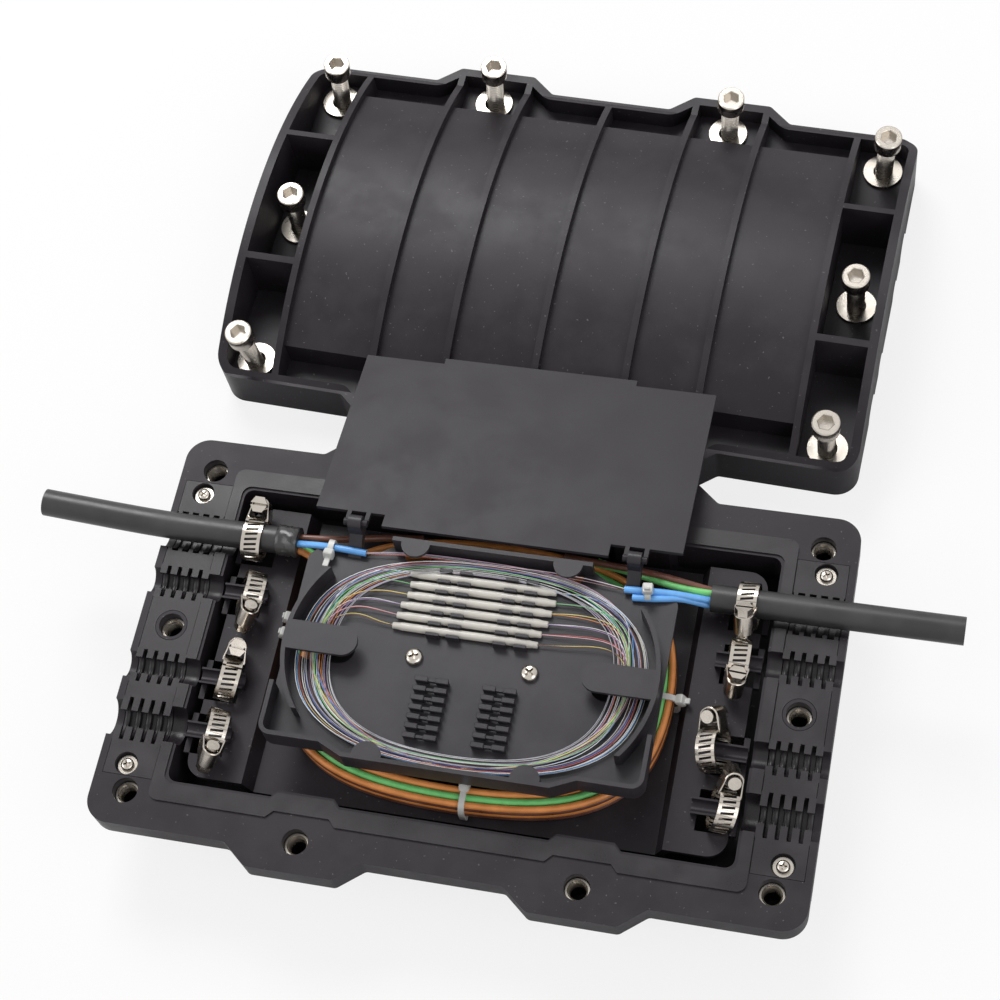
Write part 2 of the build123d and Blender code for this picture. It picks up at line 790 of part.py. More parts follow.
# Hose clamps: name, place along the cable, port, lean, side of the housing, head up, tilt
clamps = (
    ("left_1", -104.0, 0, 4.0, 1, True, 12.0),
    ("left_2", -100.5, 1, 24.0, -1, False, 28.0),
    ("left_3", -100.5, 2, 20.0, 1, True, 22.0),
    ("left_4", -100.5, 3, 24.0, -1, False, 28.0),
    ("right_1", 104.0, 0, -3.0, -1, True, 34.0),
    ("right_2", 103.0, 1, 8.0, -1, True, 22.0),
    ("right_3", 99.5, 2, -20.0, 1, False, 28.0),
    ("right_4", 106.5, 3, 18.0, 1, False, 40.0),
)
loose_z = saddle_rim + soft_gap
barrel_y = band_radius + band_thickness + barrel_gap + barrel_radius - worm_clearance
for label, x, port, lean, way, head_up, tilt in clamps:
    sag = band_width / 2 * sin(radians(abs(lean)))
    snug_z = cable_z + cable_radius + clamp_snug + sag - band_radius * cos(radians(lean))
    centre = (x, port_places[port], snug_z if port == 0 else loose_z)
    place = Location(centre) * Location((0, 0, 0), (0, lean, 0))
    if way > 0:
        place = place * Location((0, 0, 0), (0, 0, 180))
    place = place * Location((0, 0, 0), (-tilt, 0, 0))
    if not head_up:
        place = place * Location((0, 0, 0), (0, 180, 0))
    with BuildPart(Plane(place)) as clamp_band:
        Cylinder(band_radius + band_thickness, band_width, rotation=(0, 90, 0))
        with Locations((0, -barrel_y / 2, 0)):
            Box(band_width, barrel_y, barrel_length)
        with Locations((0, -barrel_y, 0)):
            Cylinder(barrel_radius, barrel_length)
        Cylinder(band_radius, band_width, rotation=(0, 90, 0), mode=Mode.SUBTRACT)
        with Locations((0, -barrel_y, 0)):
            Cylinder(worm_radius + worm_clearance, barrel_length, mode=Mode.SUBTRACT)
    keep(clamp_band, f"clamp_band_{label}")
    with BuildPart(Plane(place)) as clamp_screw:
        with Locations((0, -barrel_y, (worm_clearance - worm_tail) / 2)):
            Cylinder(worm_radius, barrel_length + worm_clearance + worm_tail)
        with BuildSketch(Plane(place).offset(barrel_length / 2 + worm_clearance)):
            with Locations((0, -barrel_y)):
                RegularPolygon(worm_head_across / 2, 6, major_radius=False)
                Rectangle(2 * worm_head_across, worm_slot, mode=Mode.SUBTRACT)
        extrude(amount=worm_head_height)
    keep(clamp_screw, f"clamp_screw_{label}")

# Cover
cover_plane = Plane(
    origin=(cover_x, cover_y, 0),
    x_dir=Vector(1, 0, 0).rotate(Axis.Z, cover_yaw),
    z_dir=(0, 0, 1),
)
with BuildPart() as cover_hollow:
    with BuildSketch():
        add(cavity_plan())
    extrude(amount=cover_height)
    with BuildSketch(Plane.YZ):
        add(arch_section(panel_drop + panel_thickness))
    extrude(amount=cavity_x, both=True, mode=Mode.INTERSECT)

with BuildPart() as cover_panel:
    with BuildSketch():
        Rectangle(2 * tub_x, 2 * cavity_y + 2 * panel_margin)
    extrude(amount=cover_height)
    with BuildSketch(Plane.YZ):
        add(arch_section(panel_drop))
    extrude(amount=tub_x, both=True, mode=Mode.INTERSECT)

with BuildPart() as cover_ribs:
    with BuildSketch():
        for x in rib_lines:
            with Locations((x, 0)):
                Rectangle(rib_thickness, housing_width + 2 * lobe_depth)
        for y in (-cross_rib_y, cross_rib_y):
            for side in (-1, 1):
                with Locations((side * (rib_places[-1] + half_length) / 2, y)):
                    Rectangle(half_length - rib_places[-1], rib_thickness)
        add(housing_plan(cover_rim / 2), mode=Mode.INTERSECT)
    extrude(amount=cover_height)
    with BuildSketch(Plane.YZ):
        add(arch_section())
    extrude(amount=half_length, both=True, mode=Mode.INTERSECT)

with BuildPart() as cover_body:
    with BuildSketch():
        add(housing_plan())
    extrude(amount=cover_height)
    with BuildSketch(Plane.YZ):
        add(arch_section())
    extrude(amount=half_length, both=True, mode=Mode.INTERSECT)
    with BuildSketch(Plane.XY.offset(pocket_floor)):
        add(housing_plan(cover_rim))
    extrude(amount=cover_height, mode=Mode.SUBTRACT)
    add(cover_panel.part)
    add(cover_ribs.part)
    add(cover_hollow.part, mode=Mode.SUBTRACT)
    with BuildSketch():
        with Locations(all_bolts):
            Circle(cover_hole_radius)
    extrude(amount=cover_height, mode=Mode.SUBTRACT)
    for y, radius in zip(port_places, port_radii):
        with BuildSketch(Plane.YZ):
            with Locations((y, 0)):
                Circle(radius)
        extrude(amount=half_length, both=True, mode=Mode.SUBTRACT)

with BuildPart() as cover:
    add(cover_body.part.moved(cover_plane.location))
keep(cover, "cover")

# Washers and bolts left standing in the cover, none under the open lid
shown_bolts = [place for place in all_bolts if place not in lobe_bolts[::2]]
with BuildPart(cover_plane) as cover_washers:
    with BuildSketch(cover_plane.offset(pocket_floor)):
        with Locations(shown_bolts):
            Circle(washer_radius)
            Circle(washer_bore, mode=Mode.SUBTRACT)
    extrude(amount=washer_thickness)
keep(cover_washers, "cover_washers")

with BuildPart(cover_plane) as cover_bolts:
    with BuildSketch(cover_plane):
        with Locations(shown_bolts):
            Circle(bolt_radius)
    extrude(amount=bolt_length)
    with BuildSketch(cover_plane.offset(bolt_length)):
        with Locations(shown_bolts):
            Circle(bolt_head_radius)
    extrude(amount=bolt_head_height)
    with BuildSketch(cover_plane.offset(bolt_length + bolt_head_height)):
        with Locations(shown_bolts):
            RegularPolygon(bolt_socket_across / 2, 6, major_radius=False)
    extrude(amount=-bolt_socket_depth, mode=Mode.SUBTRACT)
keep(cover_bolts, "cover_bolts")
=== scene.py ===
"""Fibre distribution box lying open, dressed for a studio picture.

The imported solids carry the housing, seals, tray and hardware. This script adds
the slotted clamp bands, threaded bolts, fibres, loose tubes, ties and cables,
and gives every surface its finish.
"""
import logging
import math
import random
from dataclasses import dataclass, field
from enum import Enum
from itertools import product
from typing import Callable, Iterable, Sequence

import bmesh
import bpy
from mathutils import Matrix, Vector


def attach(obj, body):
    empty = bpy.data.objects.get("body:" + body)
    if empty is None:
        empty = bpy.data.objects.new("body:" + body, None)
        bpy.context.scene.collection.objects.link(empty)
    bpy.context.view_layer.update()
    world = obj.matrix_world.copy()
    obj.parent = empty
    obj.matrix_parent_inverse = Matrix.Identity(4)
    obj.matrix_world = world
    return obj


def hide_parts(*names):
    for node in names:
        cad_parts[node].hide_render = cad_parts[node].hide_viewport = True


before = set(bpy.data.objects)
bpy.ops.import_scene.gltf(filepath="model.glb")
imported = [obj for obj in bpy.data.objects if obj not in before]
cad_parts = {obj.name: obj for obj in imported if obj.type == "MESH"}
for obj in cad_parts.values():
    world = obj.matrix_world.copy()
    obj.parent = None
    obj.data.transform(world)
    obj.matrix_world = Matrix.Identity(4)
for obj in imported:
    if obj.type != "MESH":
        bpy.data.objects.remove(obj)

MM = 0.001
LOG = logging.getLogger("distribution_box")
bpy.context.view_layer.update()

Point = tuple[float, float, float]
Colour = tuple[float, float, float]

HERE = Matrix.Identity(4)
WELD = 1e-7  # instances whose points are nearer than this, in metres, are joined
PATCH_LIMITS = (0.35, 0.7)  # where the patches of a finish begin and end in its noise
DUST_TINT = (0.35, 0.34, 0.33)
DUST_LIMITS = (0.74, 0.78)  # where a speck of dust begins and ends in its noise
DUST_SCALE = 0.35  # scale of the dust against the grain
DUST_SHARE = 0.22  # how much a speck hides


class Tint(Enum):
    """Coating colours of the fibres and the loose tubes."""

    BLUE = (0.13, 0.38, 0.80)
    ORANGE = (0.74, 0.27, 0.07)
    GREEN = (0.16, 0.56, 0.17)
    BROWN = (0.15, 0.055, 0.035)
    SLATE = (0.38, 0.38, 0.42)
    WHITE = (0.82, 0.81, 0.80)
    RED = (0.56, 0.10, 0.09)
    YELLOW = (0.78, 0.66, 0.20)
    VIOLET = (0.36, 0.24, 0.46)
    ROSE = (0.72, 0.46, 0.50)
    INDIGO = (0.10, 0.16, 0.50)


class Net:
    """A shader node tree that makes any node from its type, settings and inputs."""

    def __init__(self, owner: bpy.types.Material | bpy.types.World) -> None:
        """Start from an empty tree.

        Args:
            owner: material or world that gets the tree.
        """
        owner.use_nodes = True
        self.tree = owner.node_tree
        self.tree.nodes.clear()

    def node(self, kind: str, settings: dict | None = None, inputs: dict | None = None) -> "Wire":
        """Make a node.

        Args:
            kind: the node's type name.
            settings: attributes to set before its sockets are used.
            inputs: values or wires by socket name or number.

        Returns:
            The first output as a wire.
        """
        made = self.tree.nodes.new(kind)
        for name, value in (settings or {}).items():
            if name == "stops":
                ramp = made.color_ramp
                while len(ramp.elements) < len(value):
                    ramp.elements.new(0.5)
                for element, (place, grey) in zip(ramp.elements, value):
                    element.position = place
                    element.color = (grey, grey, grey, 1.0)
            else:
                setattr(made, name, value)
        for name, value in (inputs or {}).items():
            socket = made.inputs[name]
            if isinstance(value, Wire):
                self.tree.links.new(value.socket, socket)
            elif value is not None:
                socket.default_value = value
        return Wire(self, made.outputs[0] if made.outputs else None)

    def coordinates(self) -> "Wire":
        """Object coordinates of the piece."""
        return self.node("ShaderNodeTexCoord").other("Object")

    def noise(self, scale: float, detail: float, roughness: float) -> "Wire":
        """Noise over the surface.

        Args:
            scale: lumps per metre.
            detail: number of finer layers.
            roughness: strength of the finer layers.

        Returns:
            A value from 0 to 1.
        """
        inputs = {"Vector": self.coordinates(), "Scale": scale, "Detail": detail, "Roughness": roughness}
        return self.node("ShaderNodeTexNoise", {"noise_dimensions": "3D"}, inputs)

    def mix(self, factor: "Wire", low: "Wire | Colour", high: "Wire | Colour") -> "Wire":
        """Blend of two colours.

        Args:
            factor: 0 for the first colour and 1 for the second.
            low: first colour.
            high: second colour.

        Returns:
            The blended colour.
        """
        first, second = (end if isinstance(end, Wire) else (*end, 1.0) for end in (low, high))
        return self.node("ShaderNodeMix", {"data_type": "RGBA"}, {0: factor, 6: first, 7: second}).other(2)


class Wire:
    """An output socket on which arithmetic adds Math nodes."""

    def __init__(self, net: Net, socket: bpy.types.NodeSocket | None) -> None:
        """Wrap a socket of a net."""
        self.net = net
        self.socket = socket

    def _math(self, operation: str, first: "Wire | float", second: "Wire | float") -> "Wire":
        """A Math node on two values."""
        return self.net.node("ShaderNodeMath", {"operation": operation}, {0: first, 1: second})

    def __add__(self, other: "Wire | float") -> "Wire":
        """Sum."""
        return self._math("ADD", self, other)

    def __radd__(self, other: float) -> "Wire":
        """Sum with a number first."""
        return self._math("ADD", other, self)

    def __sub__(self, other: "Wire | float") -> "Wire":
        """Difference."""
        return self._math("SUBTRACT", self, other)

    def __rsub__(self, other: float) -> "Wire":
        """Difference from a number."""
        return self._math("SUBTRACT", other, self)

    def __mul__(self, other: "Wire | float") -> "Wire":
        """Product."""
        return self._math("MULTIPLY", self, other)

    def __rmul__(self, other: float) -> "Wire":
        """Product with a number first."""
        return self._math("MULTIPLY", other, self)

    def above(self, low: float, high: float) -> "Wire":
        """Smooth step of the value.

        Args:
            low: where the step begins.
            high: where it ends.

        Returns:
            0 below the step and 1 above it.
        """
        inputs = {"Value": self, "From Min": low, "From Max": high}
        return self.net.node("ShaderNodeMapRange", {"interpolation_type": "SMOOTHSTEP"}, inputs)

    def other(self, output: str | int) -> "Wire":
        """Another output of the same node."""
        return Wire(self.net, self.socket.node.outputs[output])


@dataclass(frozen=True)
class Finish:
    """A surface finish: colour, wear and fine relief.

    Attributes:
        name: name of the material.
        base: main colour.
        worn: colour of the lighter or dustier patches.
        metallic: 0 for plastics and rubber, 1 for metal.
        rough: roughness of the clean surface.
        rough_spread: how much roughness varies.
        grain: scale of the fine relief, per metre.
        relief: height of the fine relief, in metres.
        patch: scale of the patches, per metre.
        specks: share of dust specks, from 0 to 1.
        clear: alpha of the surface.
        specular: strength of the mirrored light on plastics and rubber.
    """

    name: str
    base: Colour
    worn: Colour
    metallic: float = 0.0
    rough: float = 0.5
    rough_spread: float = 0.12
    grain: float = 2200.0
    relief: float = 0.00002
    patch: float = 45.0
    specks: float = 0.0
    clear: float = 1.0
    specular: float = 0.5

    def make(self) -> bpy.types.Material:
        """Build the material.

        Returns:
            A material with its whole node tree.
        """
        material = bpy.data.materials.new(self.name)
        net = Net(material)
        patches = net.noise(self.patch, 4.0, 0.6).above(*PATCH_LIMITS)
        fine = net.noise(self.grain, 2.0, 0.5)
        colour = net.mix(patches, self.base, self.worn)
        if self.specks:
            low, high = DUST_LIMITS
            dust = net.noise(self.grain * DUST_SCALE, 1.0, 0.4).above(low - self.specks * 0.1, high)
            colour = net.mix(dust * DUST_SHARE, colour, DUST_TINT)
        rough = patches * self.rough_spread + self.rough + (fine - 0.5) * (self.rough_spread * 0.6)
        bump = net.node("ShaderNodeBump", None, {"Height": fine, "Distance": self.relief, "Strength": 1.0})
        shader = net.node(
            "ShaderNodeBsdfPrincipled",
            None,
            {
                "Base Color": colour,
                "Metallic": self.metallic,
                "Roughness": rough,
                "Specular IOR Level": self.specular,
                "Alpha": self.clear,
                "Normal": bump,
            },
        )
        net.node("ShaderNodeOutputMaterial", None, {"Surface": shader})
        material.diffuse_color = (*self.base, 1.0)
        return material


@dataclass
class Finishes:
    """All finishes of the box, made once.

    Attributes:
        made: materials built so far, by name. Every other field is one finish, named for its use.
    """

    housing: Finish = Finish(
        "housing_plastic",
        (0.021, 0.0175, 0.0215),
        (0.029, 0.0255, 0.030),
        rough=0.36,
        specks=0.06,
        specular=0.2,
    )
    tray: Finish = Finish(
        "tray_plastic",
        (0.026, 0.0235, 0.0275),
        (0.037, 0.034, 0.039),
        rough=0.30,
        grain=3000.0,
        specular=0.28,
    )
    lid: Finish = Finish(
        "lid_plastic", (0.020, 0.0175, 0.021), (0.029, 0.026, 0.030), rough=0.40, grain=3000.0, specular=0.22
    )
    rubber: Finish = Finish(
        "seal_rubber", (0.018, 0.0155, 0.018), (0.028, 0.025, 0.028), rough=0.28, grain=1800.0, specular=0.3
    )
    steel: Finish = Finish(
        "stainless_steel", (0.54, 0.50, 0.45), (0.46, 0.42, 0.37), 1.0, 0.2, 0.08, 1500.0, 0.000003, 160.0
    )
    zinc: Finish = Finish(
        "plated_steel", (0.44, 0.41, 0.37), (0.36, 0.33, 0.29), 1.0, 0.24, 0.1, 1400.0, 0.000004, 120.0
    )
    band: Finish = Finish(
        "band_steel", (0.52, 0.48, 0.43), (0.44, 0.40, 0.36), 1.0, 0.18, 0.08, 1800.0, 0.000003, 180.0
    )
    rod: Finish = Finish(
        "splice_rod", (0.90, 0.84, 0.72), (0.80, 0.74, 0.62), 0.5, 0.3, 0.1, 1200.0, 0.000004, 200.0
    )
    jacket: Finish = Finish(
        "cable_jacket", (0.020, 0.020, 0.021), (0.034, 0.033, 0.034), rough=0.34, grain=900.0
    )
    tape: Finish = Finish("black_tape", (0.014, 0.014, 0.015), (0.05, 0.05, 0.05), rough=0.2, grain=700.0)
    sleeve: Finish = Finish(
        "clear_sleeve",
        (0.80, 0.77, 0.71),
        (0.70, 0.67, 0.62),
        rough=0.12,
        grain=900.0,
        relief=0.000005,
        clear=0.66,
    )
    nylon: Finish = Finish("white_nylon", (0.66, 0.66, 0.64), (0.54, 0.54, 0.52), rough=0.35, grain=1200.0)
    made: dict[str, bpy.types.Material] = field(default_factory=dict)

    def get(self, finish: Finish) -> bpy.types.Material:
        """The material of a finish, built at its first use."""
        if finish.name not in self.made:
            self.made[finish.name] = finish.make()
        return self.made[finish.name]

    def coating(self, tint: Tint, kind: str, rough: float) -> bpy.types.Material:
        """A coloured coating.

        Args:
            tint: its colour.
            kind: what it coats, used in the name.
            rough: its roughness.

        Returns:
            The material.
        """
        light = tuple(min(1.0, channel * 1.25 + 0.02) for channel in tint.value)
        coat = Finish(f"{kind}_{tint.name.lower()}", tint.value, light, rough=rough, grain=600.0, patch=90.0)
        return self.get(coat)


def dress(piece: bpy.types.Object, material: bpy.types.Material) -> None:
    """Give an object one material in every slot."""
    if not piece.data.materials:
        piece.data.materials.append(material)
    for index in range(len(piece.material_slots)):
        piece.material_slots[index].material = material


def linked(name: str, data: bpy.types.ID) -> bpy.types.Object:
    """Link some data to the scene as a new object at the origin.

    Args:
        name: name of the object.
        data: its mesh, curve, lamp or camera.

    Returns:
        The object.
    """
    made = bpy.data.objects.new(name, data)
    bpy.context.scene.collection.objects.link(made)
    return made


def kept_mesh(holder: bpy.types.Object, name: str) -> bpy.types.Object:
    """Keep what an object's curve or modifiers give as a plain mesh, and drop the object.

    Args:
        holder: object that is used up.
        name: name of the piece.

    Returns:
        The linked piece, with no modifier.
    """
    bpy.context.view_layer.update()
    mesh = bpy.data.meshes.new_from_object(holder.evaluated_get(bpy.context.evaluated_depsgraph_get()))
    holder.modifiers.clear()
    bpy.data.objects.remove(holder)
    mesh.name = name
    return linked(name, mesh)


def mesh_piece(
    name: str, build: Callable[[bmesh.types.BMesh], None], material: bpy.types.Material
) -> bpy.types.Object:
    """Make a mesh object from a building function.

    Args:
        name: name of the piece.
        build: fills an empty bmesh.
        material: finish of the piece.

    Returns:
        The linked object, at the origin.
    """
    sheet = bmesh.new()
    build(sheet)
    bmesh.ops.recalc_face_normals(sheet, faces=sheet.faces)
    mesh = bpy.data.meshes.new(name)
    sheet.to_mesh(mesh)
    sheet.free()
    mesh.materials.append(material)
    return linked(name, mesh)


def smooth(piece: bpy.types.Object, limit: float) -> None:
    """Shade a mesh smooth except at edges sharper than a limit in degrees."""
    piece.data.polygons.foreach_set("use_smooth", [True] * len(piece.data.polygons))
    piece.data.set_sharp_from_angle(angle=math.radians(limit))


def spline_object(
    name: str,
    routes: Iterable[Sequence[Point]],
    radius: float,
    sides: int,
    steps: int,
    order: int,
    closed: bool = False,
) -> bpy.types.Object:
    """A curve object with one smooth round spline for each route.

    Args:
        name: name of the object.
        routes: control points in metres.
        radius: radius of the tube in metres.
        sides: bevel resolution.
        steps: steps between two control points.
        order: order of the splines.
        closed: whether each route is a loop.

    Returns:
        The linked curve object.
    """
    curve = bpy.data.curves.new(name, "CURVE")
    curve.dimensions = "3D"
    curve.bevel_depth = radius
    curve.bevel_resolution = sides
    curve.resolution_u = steps
    curve.use_fill_caps = True
    for route in routes:
        spline = curve.splines.new("NURBS")
        spline.points.add(len(route) - 1)
        for knot, place in zip(spline.points, route):
            knot.co = (*place, 1.0)
        spline.order_u = order
        spline.use_cyclic_u = closed
        spline.use_endpoint_u = not closed
    return linked(name, curve)


def curve_piece(
    name: str,
    routes: Iterable[Sequence[Point]],
    radius: float,
    material: bpy.types.Material,
    closed: bool,
    sides: int,
) -> bpy.types.Object:
    """Tubes along smooth routes, as one mesh.

    Args:
        name: name of the piece.
        routes: control points in metres.
        radius: radius of the tube in metres.
        material: finish of the tubes.
        closed: whether each route is a loop.
        sides: bevel resolution.

    Returns:
        The mesh object.
    """
    holder = spline_object(f"{name}_line", routes, radius, sides, 4, 4, closed)
    curve = holder.data
    piece = kept_mesh(holder, name)
    bpy.data.curves.remove(curve)
    piece.data.materials.clear()
    piece.data.materials.append(material)
    piece.data.polygons.foreach_set("use_smooth", [True] * len(piece.data.polygons))
    return piece


def circle(radius: float, rise: float, steps: int) -> list[Vector]:
    """Points of a circle round the local Z axis."""
    turns = [2 * math.pi * step / steps for step in range(steps)]
    return [Vector((radius * math.cos(turn), radius * math.sin(turn), rise)) for turn in turns]


def hexagon(across: float, rise: float, steps: int) -> list[Vector]:
    """Points of a hexagon round the local Z axis, as many as a circle has.

    Args:
        across: width across the flats.
        rise: height of the points.
        steps: number of points.

    Returns:
        The points in order.
    """
    points = []
    for point in circle(1.0, 0.0, steps):
        part = (math.atan2(point.y, point.x) % (math.pi / 3)) - math.pi / 6
        reach = across / 2 / math.cos(part)
        points.append(Vector((reach * point.x, reach * point.y, rise)))
    return points


def squared(value: float, power: float) -> float:
    """A sine or cosine raised to a power with its sign kept, which squares a round loop."""
    return math.copysign(abs(value) ** power, value)


def loft(
    sheet: bmesh.types.BMesh, loops: Sequence[Sequence[Vector]], place: Matrix = HERE, closed: bool = False
) -> None:
    """Join loops of equal count into a skin.

    Args:
        sheet: mesh that gets the faces.
        loops: local points, in order along the skin.
        place: local to row matrix.
        closed: whether the last loop joins the first; if not, both are capped.
    """
    rings = [[sheet.verts.new(place @ point) for point in loop] for loop in loops]
    for low, high in zip(rings, rings[1:] + (rings[:1] if closed else [])):
        for step in range(len(low)):
            after = (step + 1) % len(low)
            sheet.faces.new((low[step], low[after], high[after], high[step]))
    if not closed:
        sheet.faces.new(list(reversed(rings[0])))
        sheet.faces.new(rings[-1])


def block(sheet: bmesh.types.BMesh, low: Point, high: Point, place: Matrix, edge: float) -> None:
    """Add a box with bevelled edges.

    Args:
        sheet: mesh that gets the box.
        low: lowest local corner.
        high: highest local corner.
        place: local to row matrix.
        edge: width of the bevel.
    """
    corners = [(low[0], low[1]), (high[0], low[1]), (high[0], high[1]), (low[0], high[1])]
    signs = ((1, 1), (-1, 1), (-1, -1), (1, -1))

    def outline(inset: float, rise: float) -> list[Vector]:
        """Loop of eight points, with cut corners.

        Args:
            inset: how far the loop lies inside the box.
            rise: height of the loop.

        Returns:
            The points in order.
        """
        points = []
        for index, ((x, y), (sx, sy)) in enumerate(zip(corners, signs)):
            first = Vector((x + sx * inset, y + sy * (inset + edge), rise))
            second = Vector((x + sx * (inset + edge), y + sy * inset, rise))
            points += [first, second] if index % 2 == 0 else [second, first]
        return points

    levels = ((edge, low[2]), (0.0, low[2] + edge), (0.0, high[2] - edge), (edge, high[2]))
    loft(sheet, [outline(inset, rise) for inset, rise in levels], place)


class Repeat:
    """A Geometry Nodes tree that repeats one shape along a spiral or over points."""

    def __init__(self, name: str) -> None:
        """Start an empty tree with a geometry in and out.

        Args:
            name: name of the tree.
        """
        self.tree = bpy.data.node_groups.new(name, "GeometryNodeTree")
        self.tree.interface.new_socket("Geometry", in_out="INPUT", socket_type="NodeSocketGeometry")
        self.tree.interface.new_socket("Geometry", in_out="OUTPUT", socket_type="NodeSocketGeometry")
        self.sockets: dict[str, str] = {}
        self.entry = self.tree.nodes.new("NodeGroupInput")
        self.exit = self.tree.nodes.new("NodeGroupOutput")

    def input(self, name: str, kind: str) -> bpy.types.NodeSocket:
        """A named input of the tree.

        Args:
            name: what the input sets.
            kind: its socket type.

        Returns:
            The socket on the input node.
        """
        made = self.tree.interface.new_socket(name, in_out="INPUT", socket_type=kind)
        self.sockets[name] = made.identifier
        return self.entry.outputs[name]

    def node(self, kind: str, settings: dict | None = None, inputs: dict | None = None) -> bpy.types.Node:
        """Make a node.

        Args:
            kind: the node's type name.
            settings: attributes to set before its sockets are used.
            inputs: values or sockets by socket name or number.

        Returns:
            The node.
        """
        made = self.tree.nodes.new(kind)
        for name, value in (settings or {}).items():
            setattr(made, name, value)
        for name, value in (inputs or {}).items():
            if isinstance(value, bpy.types.NodeSocket):
                self.tree.links.new(value, made.inputs[name])
            else:
                made.inputs[name].default_value = value
        return made

    def math(self, operation: str, first: object, second: object = 0.0) -> bpy.types.NodeSocket:
        """The output of a Math node on two numbers or sockets."""
        return self.node("ShaderNodeMath", {"operation": operation}, {0: first, 1: second}).outputs[0]

    def close(self, geometry: bpy.types.NodeSocket, finish: bpy.types.NodeSocket, merge: float) -> None:
        """Realize the instances, merge their seams, set the finish and end the tree.

        Args:
            geometry: the instances.
            finish: their material.
            merge: distance at which points are joined.
        """
        steps = (
            ("GeometryNodeRealizeInstances", {}),
            ("GeometryNodeMergeByDistance", {"Distance": merge}),
            ("GeometryNodeSetMaterial", {"Material": finish}),
        )
        for kind, inputs in steps:
            geometry = self.node(kind, None, {"Geometry": geometry, **inputs}).outputs[0]
        self.tree.links.new(geometry, self.exit.inputs[0])

    def bake(self, name: str, points: bpy.types.Mesh, values: dict) -> bpy.types.Object:
        """Run the tree on a mesh of points and keep the result as a plain mesh.

        Args:
            name: name of the piece.
            points: mesh that the tree starts from.
            values: input values by name.

        Returns:
            The linked piece, with no modifier.
        """
        holder = linked(f"{name}_seed", points)
        modifier = holder.modifiers.new("repeat", "NODES")
        modifier.node_group = self.tree
        for key, value in values.items():
            modifier[self.sockets[key]] = value
        return kept_mesh(holder, name)


def hidden_shape(
    name: str, build: Callable[[bmesh.types.BMesh], None], material: bpy.types.Material
) -> bpy.types.Object:
    """A shape that only a tree uses, kept out of the scene's pieces.

    Args:
        name: name of the shape.
        build: fills an empty bmesh.
        material: finish of the shape.

    Returns:
        The unlinked object.
    """
    shape = mesh_piece(name, build, material)
    bpy.context.scene.collection.objects.unlink(shape)
    return shape


def scatter(
    name: str,
    build: Callable[[bmesh.types.BMesh], None],
    material: bpy.types.Material,
    places: Sequence[Vector],
    turns: Sequence[Vector] | None = None,
) -> bpy.types.Object:
    """One shape repeated over points, each with its own turn.

    Args:
        name: name of the piece.
        build: fills an empty bmesh with the repeated shape.
        material: finish of the piece.
        places: feet of the copies.
        turns: Euler angles of the copies, or None for copies that all stand alike.

    Returns:
        The piece as a plain mesh.
    """
    shape = hidden_shape(f"{name}_shape", build, material)
    tree = Repeat(name)
    source = tree.input("Shape", "NodeSocketObject")
    finish = tree.input("Finish", "NodeSocketMaterial")
    shared = tree.node("GeometryNodeObjectInfo", None, {"Object": source})
    angle = tree.node("GeometryNodeInputNamedAttribute", {"data_type": "FLOAT_VECTOR"}, {"Name": "turn"})
    spread = tree.node(
        "GeometryNodeInstanceOnPoints",
        None,
        {
            "Points": tree.entry.outputs[0],
            "Instance": shared.outputs["Geometry"],
            "Rotation": angle.outputs[0],
        },
    )
    tree.close(spread.outputs[0], finish, WELD)
    points = bpy.data.meshes.new(f"{name}_places")
    points.from_pydata(places, [], [])
    angles = points.attributes.new("turn", "FLOAT_VECTOR", "POINT")
    for entry, value in zip(angles.data, turns or [Vector()] * len(places)):
        entry.vector = value
    piece = tree.bake(name, points, {"Shape": shape, "Finish": material})
    bpy.data.objects.remove(shape)
    return piece


@dataclass
class Housing:
    """Base, cover, carrier, tray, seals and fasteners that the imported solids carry.

    Attributes:
        finishes: finishes of the box.
    """

    finishes: Finishes

    def dress(self) -> None:
        """Give the carried-over solids their finishes."""
        worn = {
            self.finishes.housing: ("base_shell", "cover", "carrier"),
            self.finishes.rubber: ("gasket", "port_seal_left", "port_seal_right"),
            self.finishes.tray: ("splice_tray",),
            self.finishes.lid: ("tray_lid",),
            self.finishes.zinc: ("cover_washers", "seal_washers"),
            self.finishes.steel: tuple(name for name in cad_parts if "clamp_screw" in name),
        }
        for finish, names in worn.items():
            for name in names:
                dress(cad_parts[name], self.finishes.get(finish))
            LOG.info("dressed %s", ", ".join(names))


